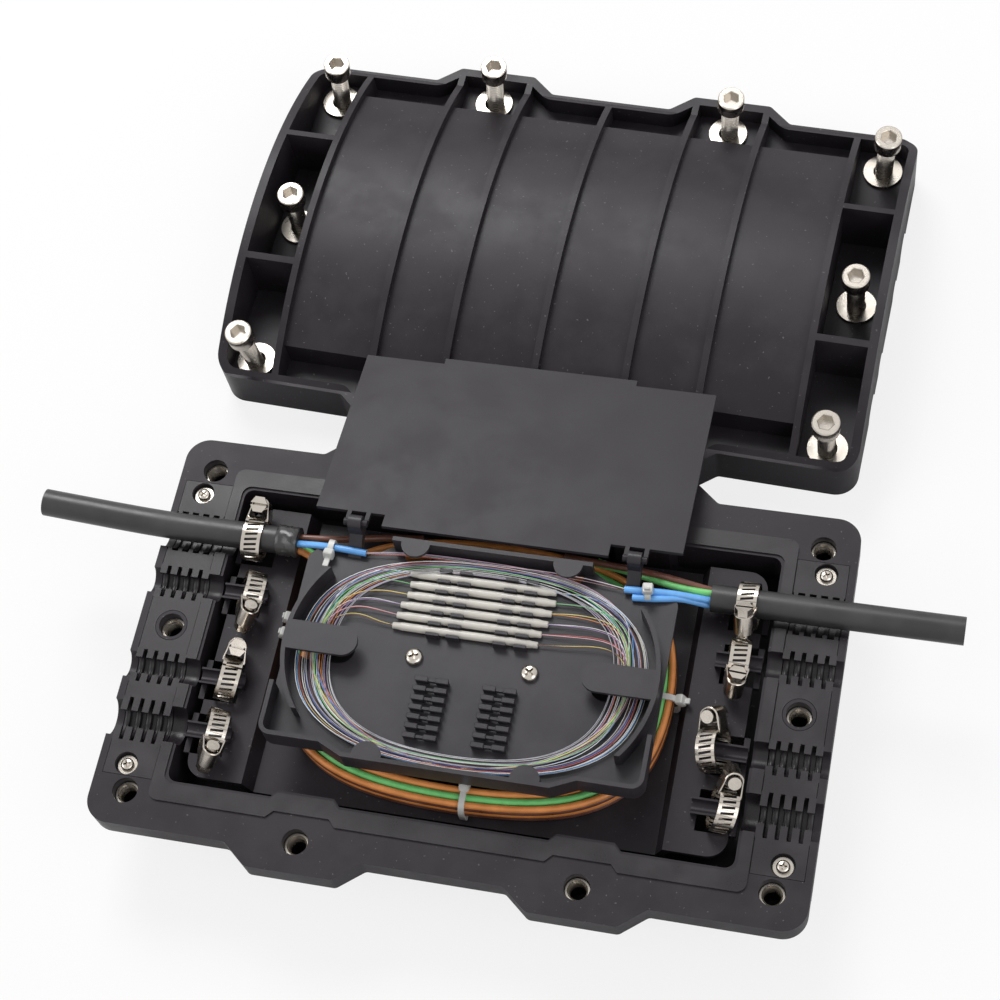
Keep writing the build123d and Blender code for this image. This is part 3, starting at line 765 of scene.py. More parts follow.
@dataclass
class Bolts:
    """Socket head bolts with rolled threads, left standing in the cover.

    Attributes:
        finishes: finishes of the box.
        radius: outer radius of the thread.
        depth: depth of the thread.
        pitch: pitch of the thread.
        length: length under the head.
        head_radius: radius of the head.
        head_height: height of the head.
        chamfer: chamfer of the head's rim.
        socket: width of the hexagonal socket across its flats.
        socket_depth: depth of the socket.
        steps: sides of the bolt.
        pivot: Z of the hole that a bolt leans in.
        groove: radius of the head's grooves against the head's own.
        point: radius of the foot against the thread's root.
        leans: for each bolt, X and Y of its foot and how far its head leans, in millimetres.
    """

    finishes: Finishes
    radius: float = 3.97 * MM
    depth: float = 0.5 * MM
    pitch: float = 1.41 * MM
    length: float = 38.1 * MM
    head_radius: float = 5.95 * MM
    head_height: float = 7.94 * MM
    chamfer: float = 0.5 * MM
    socket: float = 6.35 * MM
    socket_depth: float = 4.0 * MM
    steps: int = 60
    pivot: float = 4.0 * MM
    groove: float = 0.955
    point: float = 0.8
    leans: tuple[tuple[float, float, float, float], ...] = (
        (-130.2, 289.5, 3.8, -1.6),
        (-56.3, 296.5, 4.1, -2.2),
        (56.4, 292.0, 2.8, -3.3),
        (129.6, 279.0, 1.9, -3.6),
        (-133.4, 216.8, 2.4, -2.6),
        (126.9, 206.4, -0.4, -4.4),
        (-136.1, 144.2, -0.7, -4.4),
        (123.7, 133.7, -0.5, -4.6),
    )

    def stance(self, centre: Vector) -> tuple[Vector, Vector]:
        """Foot and turn of a bolt that leans in its hole.

        Args:
            centre: foot of the bolt when it stands upright.

        Returns:
            Its foot and its Euler angles when it leans about the hole.
        """
        found = min(self.leans, key=lambda row: (Vector(row[:2]) * MM - centre.xy).length)
        reach = self.length + self.head_height - self.pivot
        way = Vector((found[2] * MM, found[3] * MM, 0.0))
        way.z = math.sqrt(reach**2 - way.length_squared)
        way.normalize()
        foot = centre + Vector((0.0, 0.0, self.pivot)) - way * self.pivot
        foot.z = max(foot.z, self.radius * math.hypot(way.x, way.y))
        return foot, Vector(way.to_track_quat("Z", "Y").to_euler())

    def knurl(self, rise: float) -> list[Vector]:
        """A ring with grooves, for the head's side."""
        points = circle(self.head_radius, rise, self.steps)
        return [
            Vector((p.x * self.groove, p.y * self.groove, p.z)) if index % 2 else p
            for index, p in enumerate(points)
        ]

    def centres(self) -> list[Vector]:
        """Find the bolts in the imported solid.

        Returns:
            The foot of each.
        """
        groups: list[list[Vector]] = []
        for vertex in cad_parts["cover_bolts"].data.vertices:
            for group in groups:
                if (group[0].xy - vertex.co.xy).length < 4 * self.head_radius:
                    group.append(vertex.co)
                    break
            else:
                groups.append([vertex.co])
        return [
            Vector(
                (
                    (min(p.x for p in group) + max(p.x for p in group)) / 2,
                    (min(p.y for p in group) + max(p.y for p in group)) / 2,
                    0.0,
                )
            )
            for group in groups
        ]

    def bolt(self, sheet: bmesh.types.BMesh) -> None:
        """One bolt, standing on its foot: rings from the foot up and down into the socket.

        Args:
            sheet: mesh that gets the faces.
        """
        core = self.radius - self.depth
        under, top = self.length, self.length + self.head_height
        wide, chamfer = self.head_radius, self.chamfer
        rings = [(core * self.point, 0.0)]
        for level in range(int((self.length - self.pitch) / self.pitch)):
            rise = self.pitch * (level + 0.5)
            rings.append((core, rise))
            rings += [(self.radius, rise + self.pitch * share) for share in (0.42, 0.58)]
        rings += [(core, under - 0.3 * MM), (wide - chamfer / 2, under), (wide, under + chamfer / 2)]
        rings.append((wide, under + 2 * chamfer))
        rim = ((wide, top - 2.6 * chamfer), (wide, top - chamfer), (wide - chamfer, top))
        well = (
            (self.socket + chamfer, top),
            (self.socket, top - chamfer / 2),
            (self.socket, top - self.socket_depth),
        )
        loops = [circle(reach, rise, self.steps) for reach, rise in rings]
        loops += [self.knurl(under + 2.4 * chamfer), self.knurl(top - 3.0 * chamfer)]
        loops += [circle(reach, rise, self.steps) for reach, rise in rim]
        loops += [hexagon(across, rise, self.steps) for across, rise in well]
        loft(sheet, loops)

    def build(self) -> None:
        """Stand the bolts in the cover."""
        material = self.finishes.get(self.finishes.steel)
        centres = self.centres()
        feet, turns = zip(*(self.stance(centre) for centre in centres))
        piece = scatter("threaded_bolts", self.bolt, material, feet, turns)
        smooth(piece, 38.0)
        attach(piece, "cover")
        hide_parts("cover_bolts")
        LOG.info("threaded bolts: %d", len(centres))


@dataclass
class Inserts:
    """Threaded inserts, sunk in the ten bolt holes of the base.

    Attributes:
        finishes: finishes of the box.
        radius: outer radius.
        crest: radius of the thread's crests.
        root: radius of the thread's roots.
        pitch: pitch of the thread.
        top: Z of the upper end.
        low: Z of the lower end.
        bevel: bevel of the upper rim.
        steps: sides of an insert.
        corner: X and Y of a corner's hole, in millimetres.
        lobe: X and Y of a lobe's hole, in millimetres.
        side: X of a port seal's hole, in millimetres.
    """

    finishes: Finishes
    radius: float = 5.2 * MM
    crest: float = 3.45 * MM
    root: float = 3.95 * MM
    pitch: float = 1.41 * MM
    top: float = 38.6 * MM
    low: float = 30.3 * MM
    bevel: float = 0.3 * MM
    steps: int = 32
    corner: tuple[float, float] = (130.0, 72.7)
    lobe: tuple[float, float] = (56.4, 82.7)
    side: float = 130.2

    def insert(self, sheet: bmesh.types.BMesh) -> None:
        """One insert with its thread, standing on its lower end.

        Args:
            sheet: mesh that gets the faces.
        """
        height = self.top - self.low
        profile = [(self.root, 0.0), (self.radius, 0.0), (self.radius, height - self.bevel)]
        profile += [(self.radius - self.bevel, height), (self.root + 0.2 * MM, height)]
        rise = height - 0.5 * MM
        while rise > self.pitch:
            profile.append((self.root, rise))
            profile.append((self.crest, rise - self.pitch * 0.4))
            profile.append((self.crest, rise - self.pitch * 0.55))
            rise -= self.pitch
        rings = []
        for step in range(self.steps):
            turn = 2 * math.pi * step / self.steps
            cosine, sine = math.cos(turn), math.sin(turn)
            rings.append([Vector((reach * cosine, reach * sine, z)) for reach, z in profile])
        loft(sheet, rings, closed=True)

    def build(self) -> None:
        """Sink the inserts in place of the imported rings."""
        places = [
            Vector((x * across * MM, y * deep * MM, self.low))
            for across, deep in (self.corner, self.lobe)
            for x in (-1, 1)
            for y in (-1, 1)
        ]
        places += [Vector((x * self.side * MM, 0.0, self.low)) for x in (-1, 1)]
        piece = scatter("sunk_inserts", self.insert, self.finishes.get(self.finishes.zinc), places)
        smooth(piece, 32.0)
        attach(piece, "base")
        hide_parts("base_inserts")
        LOG.info("sunk inserts: %d", len(places))


@dataclass(frozen=True)
class ScrewSet:
    """Screws of one size.

    Attributes:
        name: name of the piece.
        node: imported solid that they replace.
        sizes: radius and height of a head, radius and length of a shank, in millimetres.
        places: undersides of the heads, in millimetres.
    """

    name: str
    node: str
    sizes: tuple[float, float, float, float]
    places: tuple[Point, ...]


@dataclass
class CrossScrews:
    """Pan head screws with a cross recess.

    Attributes:
        finishes: finishes of the box.
        steps: sides of a head.
        turn: turn of the first screw.
        next_turn: turn from each screw to the next.
        dome: radius and height of the head's rings, against its own.
        sets: the screws of the tray and of the port seals.
    """

    finishes: Finishes
    steps: int = 48
    turn: float = 0.4
    next_turn: float = 0.55
    dome: tuple[tuple[float, float], ...] = (
        (1.0, 0.12),
        (1.0, 0.42),
        (0.93, 0.66),
        (0.80, 0.84),
        (0.62, 0.96),
    )
    sets: tuple[ScrewSet, ...] = (
        ScrewSet(
            "tray_cross_screws",
            "tray_screws",
            (3.6, 2.6, 2.0, 12.0),
            ((-23.7, -3.2, 53.5), (23.7, -3.2, 53.5)),
        ),
        ScrewSet(
            "seal_cross_screws",
            "seal_screws",
            (2.7, 1.9, 1.5, 9.0),
            ((-132.6, -61.5, 40.6), (-132.6, 61.5, 40.6), (132.6, -61.5, 40.6), (132.6, 61.5, 40.6)),
        ),
    )

    def cross(self, reach: float, half: float, rise: float) -> list[Vector]:
        """Outline of the recess.

        Args:
            reach: length of an arm from the axis.
            half: half width of an arm.
            rise: height of the outline.

        Returns:
            As many points as a circle has.
        """
        points = []
        for step in range(self.steps):
            turn = 2 * math.pi * (step + 0.5) / self.steps
            near = (turn + math.pi / 4) % (math.pi / 2) - math.pi / 4
            out = min(reach / math.cos(near), half / max(abs(math.sin(near)), 1e-6))
            points.append(Vector((out * math.cos(turn), out * math.sin(turn), rise)))
        return points

    def screw(
        self, sheet: bmesh.types.BMesh, head: float, height: float, shank: float, length: float
    ) -> None:
        """One screw with its head's underside at zero.

        Args:
            sheet: mesh that gets the faces.
            head: radius of the head.
            height: height of the head.
            shank: radius of the shank.
            length: length of the shank.
        """
        loops = [circle(shank * 0.4, -length, self.steps), circle(shank, -length + shank, self.steps)]
        loops += [circle(shank, 0.0, self.steps), circle(head * 0.96, 0.0, self.steps)]
        for share, rise in self.dome:
            loops.append(circle(head * share, height * rise, self.steps))
        for reach, half, rise in ((0.55, 0.14, 1.0), (0.50, 0.12, 0.7), (0.22, 0.10, 0.25)):
            loops.append(self.cross(head * reach, head * half, height * rise))
        loft(sheet, loops)

    def build(self) -> None:
        """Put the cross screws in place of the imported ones."""
        for row in self.sets:
            name, node, places = row.name, row.node, row.places
            sizes = [size * MM for size in row.sizes]
            turns = [Vector((0.0, 0.0, self.turn + self.next_turn * number)) for number in range(len(places))]
            piece = scatter(
                name,
                lambda sheet: self.screw(sheet, *sizes),
                self.finishes.get(self.finishes.steel),
                [Vector(place) * MM for place in places],
                turns,
            )
            smooth(piece, 40.0)
            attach(piece, "base")
            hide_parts(node)
            LOG.info("%s: %d", name, len(places))


@dataclass
class CombBars:
    """Bridges that join the two fingers of every comb tooth near its top.

    Attributes:
        finishes: finishes of the box.
        x: X of a comb's middle.
        rows: Y of each tooth.
        low: Z of a bridge's underside.
        high: Z of a tooth's top.
        gap: gap between the two fingers.
        thick: thickness of a tooth.
        reach: half length of a tooth.
        cap: width of a finger's cap.
        sunk: how far a bridge lies under the caps.
        proud: how far a cap stands over its finger.
        edge: bevel of a bridge.
        cap_edge: bevel of a cap.
    """

    finishes: Finishes
    x: float = 13.8 * MM
    rows: tuple[float, ...] = tuple((-25.0 + (step - 3) * 4.0) * MM for step in range(7))
    low: float = 55.2 * MM
    high: float = 57.75 * MM
    gap: float = 3.3 * MM
    thick: float = 1.3 * MM
    reach: float = 6.9 * MM
    cap: float = 2.2 * MM
    sunk: float = 0.7 * MM
    proud: float = 0.1 * MM
    edge: float = 0.12 * MM
    cap_edge: float = 0.2 * MM

    def bridge(self, sheet: bmesh.types.BMesh) -> None:
        """One bridge, its underside at zero, and the caps of the two fingers it joins.

        Args:
            sheet: mesh that gets the faces.
        """
        half, deep, wide = self.gap / 2, self.thick / 2, self.cap / 2
        rise = self.high - self.low
        flat = rise - self.sunk
        block(sheet, (-half, -deep, 0.0), (half, deep, flat), HERE, self.edge)
        for low, high in ((-self.reach, -half), (half, self.reach)):
            block(sheet, (low, -wide, flat), (high, wide, rise + self.proud), HERE, self.cap_edge)

    def build(self) -> None:
        """Bridge all teeth of the two front combs."""
        places = [Vector((way * self.x, y, self.low)) for way in (-1, 1) for y in self.rows]
        piece = scatter("comb_bridges", self.bridge, self.finishes.get(self.finishes.tray), places)
        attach(piece, "base")
        LOG.info("comb bridges: %d", len(places))


@dataclass
class SealBeads:
    """Rounded rubber beads over the rings of the free half ports.

    Attributes:
        finishes: finishes of the box.
        middle: X of a port's middle ring.
        pitch: distance between two rings.
        count: rings in a port.
        rise: Z of the ports' axis.
        section: radius of a bead's section.
        inset: how far a bead's centre line lies outside the port's radius.
        steps: steps round half a port.
        sides: sides of a bead's section.
        ports: name, radius and Y of the free ports of each size, in millimetres.
    """

    finishes: Finishes
    middle: float = 131.05 * MM
    pitch: float = 4.6 * MM
    count: int = 5
    rise: float = 42.95 * MM
    section: float = 1.45 * MM
    inset: float = 1.1 * MM
    steps: int = 28
    sides: int = 14
    ports: tuple[tuple[str, float, tuple[float, ...]], ...] = (
        ("middle", 5.65, (19.2, -19.2)),
        ("outer", 7.75, (-42.7,)),
    )

    def bead(self, sheet: bmesh.types.BMesh, radius: float) -> None:
        """Half a ring that hangs under the ports' axis.

        Args:
            sheet: mesh that gets the faces.
            radius: radius of the port.
        """
        reach = radius + self.inset
        loops = []
        for step in range(self.steps + 1):
            turn = -math.pi * step / self.steps
            loop = circle(self.section, 0.0, self.sides)
            out = [reach + point.x for point in loop]
            loops.append([Vector((p.y, o * math.cos(turn), o * math.sin(turn))) for p, o in zip(loop, out)])
        loft(sheet, loops)

    def build(self) -> None:
        """Lay the beads in all free ports."""
        material = self.finishes.get(self.finishes.rubber)
        for label, radius, ports in self.ports:
            places = [
                Vector((side * (self.middle + (step - (self.count - 1) / 2) * self.pitch), y * MM, self.rise))
                for side in (-1, 1)
                for y in ports
                for step in range(self.count)
            ]
            piece = scatter(
                f"seal_beads_{label}", lambda sheet: self.bead(sheet, radius * MM), material, places
            )
            smooth(piece, 40.0)
            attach(piece, "base")
            LOG.info("%s beads: %d", label, len(places))


@dataclass(frozen=True)
class ClampPlace:
    """Where one hose clamp sits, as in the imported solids.

    Attributes:
        label: end of the node's name.
        x: place along the cable, in millimetres.
        port: number of the port.
        lean: lean of the ring in degrees.
        way: side of the housing, 1 for the back.
        head_up: whether the screw's head is up.
        tilt: turn of the housing round the ring in degrees.
    """

    label: str
    x: float
    port: int
    lean: float
    way: int
    head_up: bool
    tilt: float


@dataclass
class Clamps:
    """Worm-drive hose clamps: a slotted band and the housing over its worm.

    Attributes:
        finishes: finishes of the box.
        places: the eight clamps.
        ports: Y of the ports.
        cable: Z of the cables' axis.
        cable_radius: radius of the cables.
        rim: Z of the axis of a loose clamp.
        radius: inner radius of the band.
        thick: thickness of the band.
        width: width of the band.
        snug: gap between a tight band and its cable.
        barrel_y: distance from the ring's axis to the worm's.
        barrel: outer radius of the housing.
        barrel_length: length of the housing.
        gauge: thickness of the housing's sheet.
        slots: slots round the band.
        slot_width: width of a slot.
        slot_reach: half the length of a slot.
        slot_slant: shift of a slot's end.
        tail: where the band's outer end lies round the ring, in degrees.
        weld: distance at which two tiles' edges are joined.
        ankle: height of the housing's side over the band.
        lip: how much the housing is drawn in at its ends.
        stations: places along half the housing where its section is drawn.
        arc: steps round the worm.
    """

    finishes: Finishes
    places: tuple[ClampPlace, ...] = (
        ClampPlace("left_1", -104.0, 0, 4.0, 1, True, 12.0),
        ClampPlace("left_2", -100.5, 1, 24.0, -1, False, 28.0),
        ClampPlace("left_3", -100.5, 2, 20.0, 1, True, 22.0),
        ClampPlace("left_4", -100.5, 3, 24.0, -1, False, 28.0),
        ClampPlace("right_1", 104.0, 0, -3.0, -1, True, 34.0),
        ClampPlace("right_2", 103.0, 1, 8.0, -1, True, 22.0),
        ClampPlace("right_3", 99.5, 2, -20.0, 1, False, 28.0),
        ClampPlace("right_4", 106.5, 3, 18.0, 1, False, 40.0),
    )
    ports: tuple[float, ...] = (42.7 * MM, 19.2 * MM, -19.2 * MM, -42.7 * MM)
    cable: float = 47.179 * MM
    cable_radius: float = 5.75 * MM
    rim: float = 42.3 * MM
    radius: float = 8.3 * MM
    thick: float = 0.7 * MM
    width: float = 8.0 * MM
    snug: float = 0.06 * MM
    barrel_y: float = 13.34 * MM
    barrel: float = 3.9 * MM
    barrel_length: float = 8.6 * MM
    gauge: float = 0.6 * MM
    slots: int = 26
    slot_width: float = 0.95 * MM
    slot_reach: float = 2.6 * MM
    slot_slant: float = 0.42 * MM
    tail: float = -20.0
    weld: float = 0.08 * MM
    ankle: float = 1.1 * MM
    lip: float = 0.25 * MM
    stations: tuple[float, ...] = (-1.0, -0.94, -0.5, 0.0, 0.5, 0.94, 1.0)
    arc: int = 12

    def matrix(self, place: ClampPlace) -> Matrix:
        """The clamp's frame: ring round X, worm along Z at -Y.

        Args:
            place: where the clamp sits.

        Returns:
            Local to row matrix.
        """
        sag = self.width / 2 * math.sin(math.radians(abs(place.lean)))
        drop = self.radius * math.cos(math.radians(place.lean))
        rise = self.cable + self.cable_radius + self.snug + sag - drop if place.port == 0 else self.rim
        made = Matrix.Translation((place.x * MM, self.ports[place.port], rise))
        made = made @ Matrix.Rotation(math.radians(place.lean), 4, "Y")
        if place.way > 0:
            made = made @ Matrix.Rotation(math.pi, 4, "Z")
        made = made @ Matrix.Rotation(math.radians(-place.tilt), 4, "X")
        if not place.head_up:
            made = made @ Matrix.Rotation(math.pi, 4, "Y")
        return made

    def tile(self, sheet: bmesh.types.BMesh) -> None:
        """One pitch of the band with its slanted slot, across the -Y side of the ring.

        Args:
            sheet: mesh that gets the faces.
        """
        half = math.pi / self.slots
        side = self.width / 2
        cut = self.slot_width / 2 / self.radius
        slant = self.slot_slant / self.radius
        rows = (
            (-side, (-half, -cut - slant, cut - slant, half)),
            (-self.slot_reach, (-half, -cut - slant, cut - slant, half)),
            (self.slot_reach, (-half, -cut + slant, cut + slant, half)),
            (side, (-half, -cut + slant, cut + slant, half)),
        )
        layers = []
        for reach in (self.radius, self.radius + self.thick):
            layers.append(
                [
                    [
                        sheet.verts.new((across, -reach * math.cos(turn), reach * math.sin(turn)))
                        for turn in turns
                    ]
                    for across, turns in rows
                ]
            )
        for grid in layers:
            for row, column in product(range(3), range(3)):
                if (row, column) != (1, 1):
                    low, high = grid[row], grid[row + 1]
                    sheet.faces.new((low[column], low[column + 1], high[column + 1], high[column]))
        inner, outer = layers
        for row in (0, 3):
            for column in range(3):
                a, b = inner[row][column], inner[row][column + 1]
                sheet.faces.new((a, b, outer[row][column + 1], outer[row][column]))
        rim = ((1, 1), (1, 2), (2, 2), (2, 1))
        for (row, column), (next_row, next_column) in zip(rim, rim[1:] + rim[:1]):
            a, b = inner[row][column], inner[next_row][next_column]
            sheet.faces.new((a, b, outer[next_row][next_column], outer[row][column]))

    def band_tree(self) -> Repeat:
        """Tree that winds the tile into a ring with an overlapping tail.

        Returns:
            The tree, with the tile, its finish, count, pitch and growth as inputs.
        """
        tree = Repeat("slotted_band")
        tile = tree.input("Tile", "NodeSocketObject")
        finish = tree.input("Finish", "NodeSocketMaterial")
        count = tree.input("Count", "NodeSocketInt")
        pitch = tree.input("Pitch angle", "NodeSocketFloat")
        growth = tree.input("Growth", "NodeSocketFloat")
        line = tree.node("GeometryNodeMeshLine", None, {"Count": count})
        line.inputs["Offset"].default_value = (0.0, 0.0, 0.0)
        index = tree.node("GeometryNodeInputIndex").outputs[0]
        turn = tree.math("MULTIPLY", index, pitch)
        reach = tree.math("MULTIPLY", index, growth)
        back = tree.math("MULTIPLY", tree.math("MULTIPLY", reach, -1.0), tree.math("COSINE", turn))
        up = tree.math("MULTIPLY", reach, tree.math("SINE", turn))
        shift = tree.node("ShaderNodeCombineXYZ", None, {"Y": back, "Z": up})
        placed = tree.node(
            "GeometryNodeSetPosition", None, {"Geometry": line.outputs[0], "Offset": shift.outputs[0]}
        )
        turned = tree.node("ShaderNodeCombineXYZ", None, {"X": tree.math("MULTIPLY", turn, -1.0)})
        shared = tree.node("GeometryNodeObjectInfo", None, {"Object": tile})
        spread = tree.node(
            "GeometryNodeInstanceOnPoints",
            None,
            {
                "Points": placed.outputs[0],
                "Instance": shared.outputs["Geometry"],
                "Rotation": turned.outputs[0],
            },
        )
        tree.close(spread.outputs[0], finish, self.weld)
        return tree

    def housing(self, sheet: bmesh.types.BMesh, place: Matrix) -> None:
        """The bent sheet over the worm, with its feet on the band.

        Args:
            sheet: mesh that gets the faces.
            place: the clamp's frame.
        """
        loops = []
        half = self.barrel_length / 2
        reach = self.width / 2 + self.gauge
        for station in self.stations:
            z = station * half
            pull = self.lip if abs(station) == 1.0 else 0.0
            foot = -math.sqrt(self.radius**2 - z**2)
            centre = Vector((0.0, -self.barrel_y, z))
            outer = [Vector((-reach, foot, z)), Vector((-reach, foot - self.ankle, z))]
            near, ankle = reach - self.gauge, foot - self.ankle - 0.1 * MM
            inner = [Vector((-near, foot, z)), Vector((-near, ankle, z))]
            for step in range(self.arc + 1):
                turn = math.pi * (1 + step / self.arc)
                wide = Vector((math.cos(turn), math.sin(turn), 0.0))
                outer.append(centre + wide * (self.barrel - pull))
                inner.append(centre + wide * (self.barrel - self.gauge))
            outer += [Vector((reach, foot - self.ankle, z)), Vector((reach, foot, z))]
            inner += [Vector((near, ankle, z)), Vector((near, foot, z))]
            loops.append(outer + list(reversed(inner)))
        loft(sheet, loops, place)

    def build(self) -> None:
        """Make every clamp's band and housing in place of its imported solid."""
        material = self.finishes.get(self.finishes.band)
        shape = hidden_shape("band_tile", self.tile, material)
        tree = self.band_tree()
        seed = bpy.data.meshes.new("band_seed")
        values = {
            "Tile": shape,
            "Finish": material,
            "Count": self.slots + 3,
            "Pitch angle": 2 * math.pi / self.slots,
            "Growth": self.thick / self.slots,
        }
        for place in self.places:
            name = f"clamp_band_{place.label}"
            spot = self.matrix(place)
            band = tree.bake(f"slotted_band_{place.label}", seed.copy(), values)
            band.data.transform(spot @ Matrix.Rotation(math.radians(self.tail), 4, "X"))
            cover = mesh_piece(
                f"worm_housing_{place.label}", lambda sheet: self.housing(sheet, spot), material
            )
            smooth(cover, 40.0)
            smooth(band, 30.0)
            for piece in (band, cover):
                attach(piece, "base")
            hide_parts(name)
            LOG.info("clamp %s", place.label)
        bpy.data.objects.remove(shape)


class Strand(Enum):
    """Whether a line of the tray is a bare fibre or a loose tube."""

    FIBRE = "coated_fibre"
    TUBE = "loose_tube"


def oval(
    half: tuple[float, float], centre: tuple[float, float], rise: Callable[[float], float], power: float
) -> list[Point]:
    """Control points of a rounded loop.

    Args:
        half: half its length and half its width.
        centre: its centre.
        rise: height by direction.
        power: 2 for an ellipse, more for a squarer loop.

    Returns:
        Twenty points in order.
    """
    points = []
    for step in range(20):
        turn = 2 * math.pi * step / 20
        wide, deep = squared(math.cos(turn), 2 / power), squared(math.sin(turn), 2 / power)
        points.append((centre[0] + half[0] * wide, centre[1] + half[1] * deep, rise(turn)))
    return points


def metres(route: Iterable[Point]) -> list[Point]:
    """A route in metres, from one in millimetres."""
    return [(x * MM, y * MM, z * MM) for x, y, z in route]


@dataclass
class Fibres:
    """Coated fibres coiled in the tray, with their leads to the splices.

    Attributes:
        finishes: finishes of the box.
        radius: drawn radius of a fibre.
        loops: turns in the tray.
        half_length: half length of the widest turn.
        half_width: half width of the widest turn.
        spread: how far in the smallest turn is.
        centre_y: Y of the loop's centre.
        floor: Z of the tray's floor.
        squareness: how square the turns are, 2 for an ellipse.
        splice_ys: Y of the six splices, in millimetres.
        left_ends: X of their left ends, in millimetres.
        right_ends: X of their right ends, in millimetres.
        mouths: side, X and Y of the two tubes' ends, in millimetres.
        palette: colours of the turns, in the order in which they are drawn.
        lead_tints: colours of the two fibres in each splice.
        entry_tints: colours of the fibres from each tube.
    """

    finishes: Finishes
    radius: float = 0.15 * MM
    loops: int = 27
    half_length: float = 72.5 * MM
    half_width: float = 44.6 * MM
    spread: float = 16.0 * MM
    centre_y: float = -4.0 * MM
    floor: float = 53.5 * MM
    splice_ys: tuple[float, ...] = (32.25, 27.55, 22.85, 18.15, 13.45, 8.75)
    left_ends: tuple[float, ...] = (-32.5, -31.6, -31.8, -33.6, -34.2, -35.0)
    right_ends: tuple[float, ...] = (28.0, 28.6, 27.8, 27.2, 25.4, 24.8)
    squareness: float = 2.5
    mouths: tuple[tuple[int, float, float], ...] = ((-1, -52.4, 38.2), (1, 54.6, 37.6))
    palette: tuple[Tint, ...] = (
        Tint.WHITE, Tint.BROWN, Tint.SLATE, Tint.WHITE, Tint.BLUE, Tint.WHITE, Tint.VIOLET,
        Tint.SLATE, Tint.YELLOW, Tint.WHITE, Tint.BROWN, Tint.SLATE, Tint.GREEN, Tint.WHITE,
        Tint.ORANGE, Tint.SLATE, Tint.WHITE, Tint.RED, Tint.INDIGO, Tint.WHITE,
    )
    lead_tints: tuple[tuple[Tint, Tint], ...] = (
        (Tint.BLUE, Tint.WHITE),
        (Tint.SLATE, Tint.GREEN),
        (Tint.ORANGE, Tint.YELLOW),
        (Tint.WHITE, Tint.VIOLET),
        (Tint.RED, Tint.ROSE),
        (Tint.YELLOW, Tint.BROWN),
    )
    entry_tints: tuple[Tint, ...] = (Tint.ROSE, Tint.BROWN, Tint.WHITE, Tint.VIOLET, Tint.SLATE, Tint.RED)

    def turns(self, draw: random.Random) -> dict[Tint, list[list[Point]]]:
        """Closed turns by colour.

        Args:
            draw: seeded source of spread.

        Returns:
            Routes of each colour.
        """
        routes: dict[Tint, list[list[Point]]] = {}
        for number in range(self.loops):
            inward = self.spread * (0.04 + 0.92 * (number % 8 + draw.random() ** 2) / 8)
            lift = (0.4 + 3.2 * draw.random()) * MM
            phase = 2 * math.pi * draw.random()
            sway = (0.3 + 0.5 * draw.random()) * MM
            tint = self.palette[number % len(self.palette)]
            half = (self.half_length - inward, self.half_width - inward * 0.36)
            centre = (
                (draw.random() - 0.5) * 1.6 * MM,
                self.centre_y + (draw.random() - 0.5) * 1.0 * MM,
            )

            def rise(turn: float, lift: float = lift, phase: float = phase, sway: float = sway) -> float:
                """Height of this turn, which rides over its neighbours."""
                return self.floor + self.radius + lift + sway * math.sin(2 * turn + phase)

            routes.setdefault(tint, []).append(oval(half, centre, rise, self.squareness))
        return routes

    def leads(self, draw: random.Random) -> dict[Tint, list[list[Point]]]:
        """Open leads from both ends of every splice sleeve into the coil.

        Args:
            draw: seeded source of spread.

        Returns:
            Routes of each colour.
        """
        routes: dict[Tint, list[list[Point]]] = {}
        for row, (y, left, right) in enumerate(zip(self.splice_ys, self.left_ends, self.right_ends)):
            for number, tint in enumerate(self.lead_tints[row]):
                for side, end in ((-1, left), (1, right)):
                    jump = (draw.random() - 0.5) * 1.2
                    low = 55.0 + 0.5 * number
                    bend = 51.0 + 1.3 * (5 - row) * (0.5 if side < 0 else 1.0)
                    join = 60.0 + 4.0 * draw.random()
                    points = (
                        (end + side * -2.0, y, 55.0),
                        (end + side * 4.0, y + 0.4 + jump * 0.3, low),
                        (side * (abs(end) + bend) / 2, y + 1.0 + jump, low + 0.4),
                        (side * (bend + 2.0), y * 0.6 + 7.0 + jump, low + 0.8),
                        (side * join, 3.0 + 0.3 * y, low + 1.0),
                        (side * (join + 3.0), -8.0, low + 0.8),
                        (side * (join - 3.0), -22.0, low + 0.6),
                        (side * (join - 18.0), -37.0 - jump, low + 0.3),
                        (side * (join - 38.0), -44.5 + jump * 0.4, low),
                        (side * (join - 56.0), -46.5, low),
                    )
                    routes.setdefault(tint, []).append(metres(points))
        return routes

    def entries(self, draw: random.Random) -> dict[Tint, list[list[Point]]]:
        """Fibres that come out of the two blue tubes and join the coil at the back.

        Args:
            draw: seeded source of spread.

        Returns:
            Routes of each colour.
        """
        routes: dict[Tint, list[list[Point]]] = {}
        for side, mouth, back in self.mouths:
            for tint in self.entry_tints:
                jump = draw.random() - 0.5
                points = (
                    (mouth + side * 1.5, back, 55.7 + jump * 0.8),
                    (mouth - side * 5.0, back + 0.6 + jump, 55.6 + jump),
                    (mouth - side * 16.0, back + 2.2 + jump, 56.0 + jump),
                    (mouth - side * 36.0, back + 2.2 + jump * 1.6, 56.2 + jump),
                    (mouth - side * 60.0, back + 1.8 + jump * 2.0, 56.0 + jump),
                    (mouth - side * 84.0, back + 1.0 + jump, 55.6 + jump),
                    (mouth - side * 102.0, back - 5.0 + jump, 55.4 + jump),
                    (mouth - side * 115.0, back - 17.0, 55.2 + jump),
                )
                routes.setdefault(tint, []).append(metres(points))
        return routes

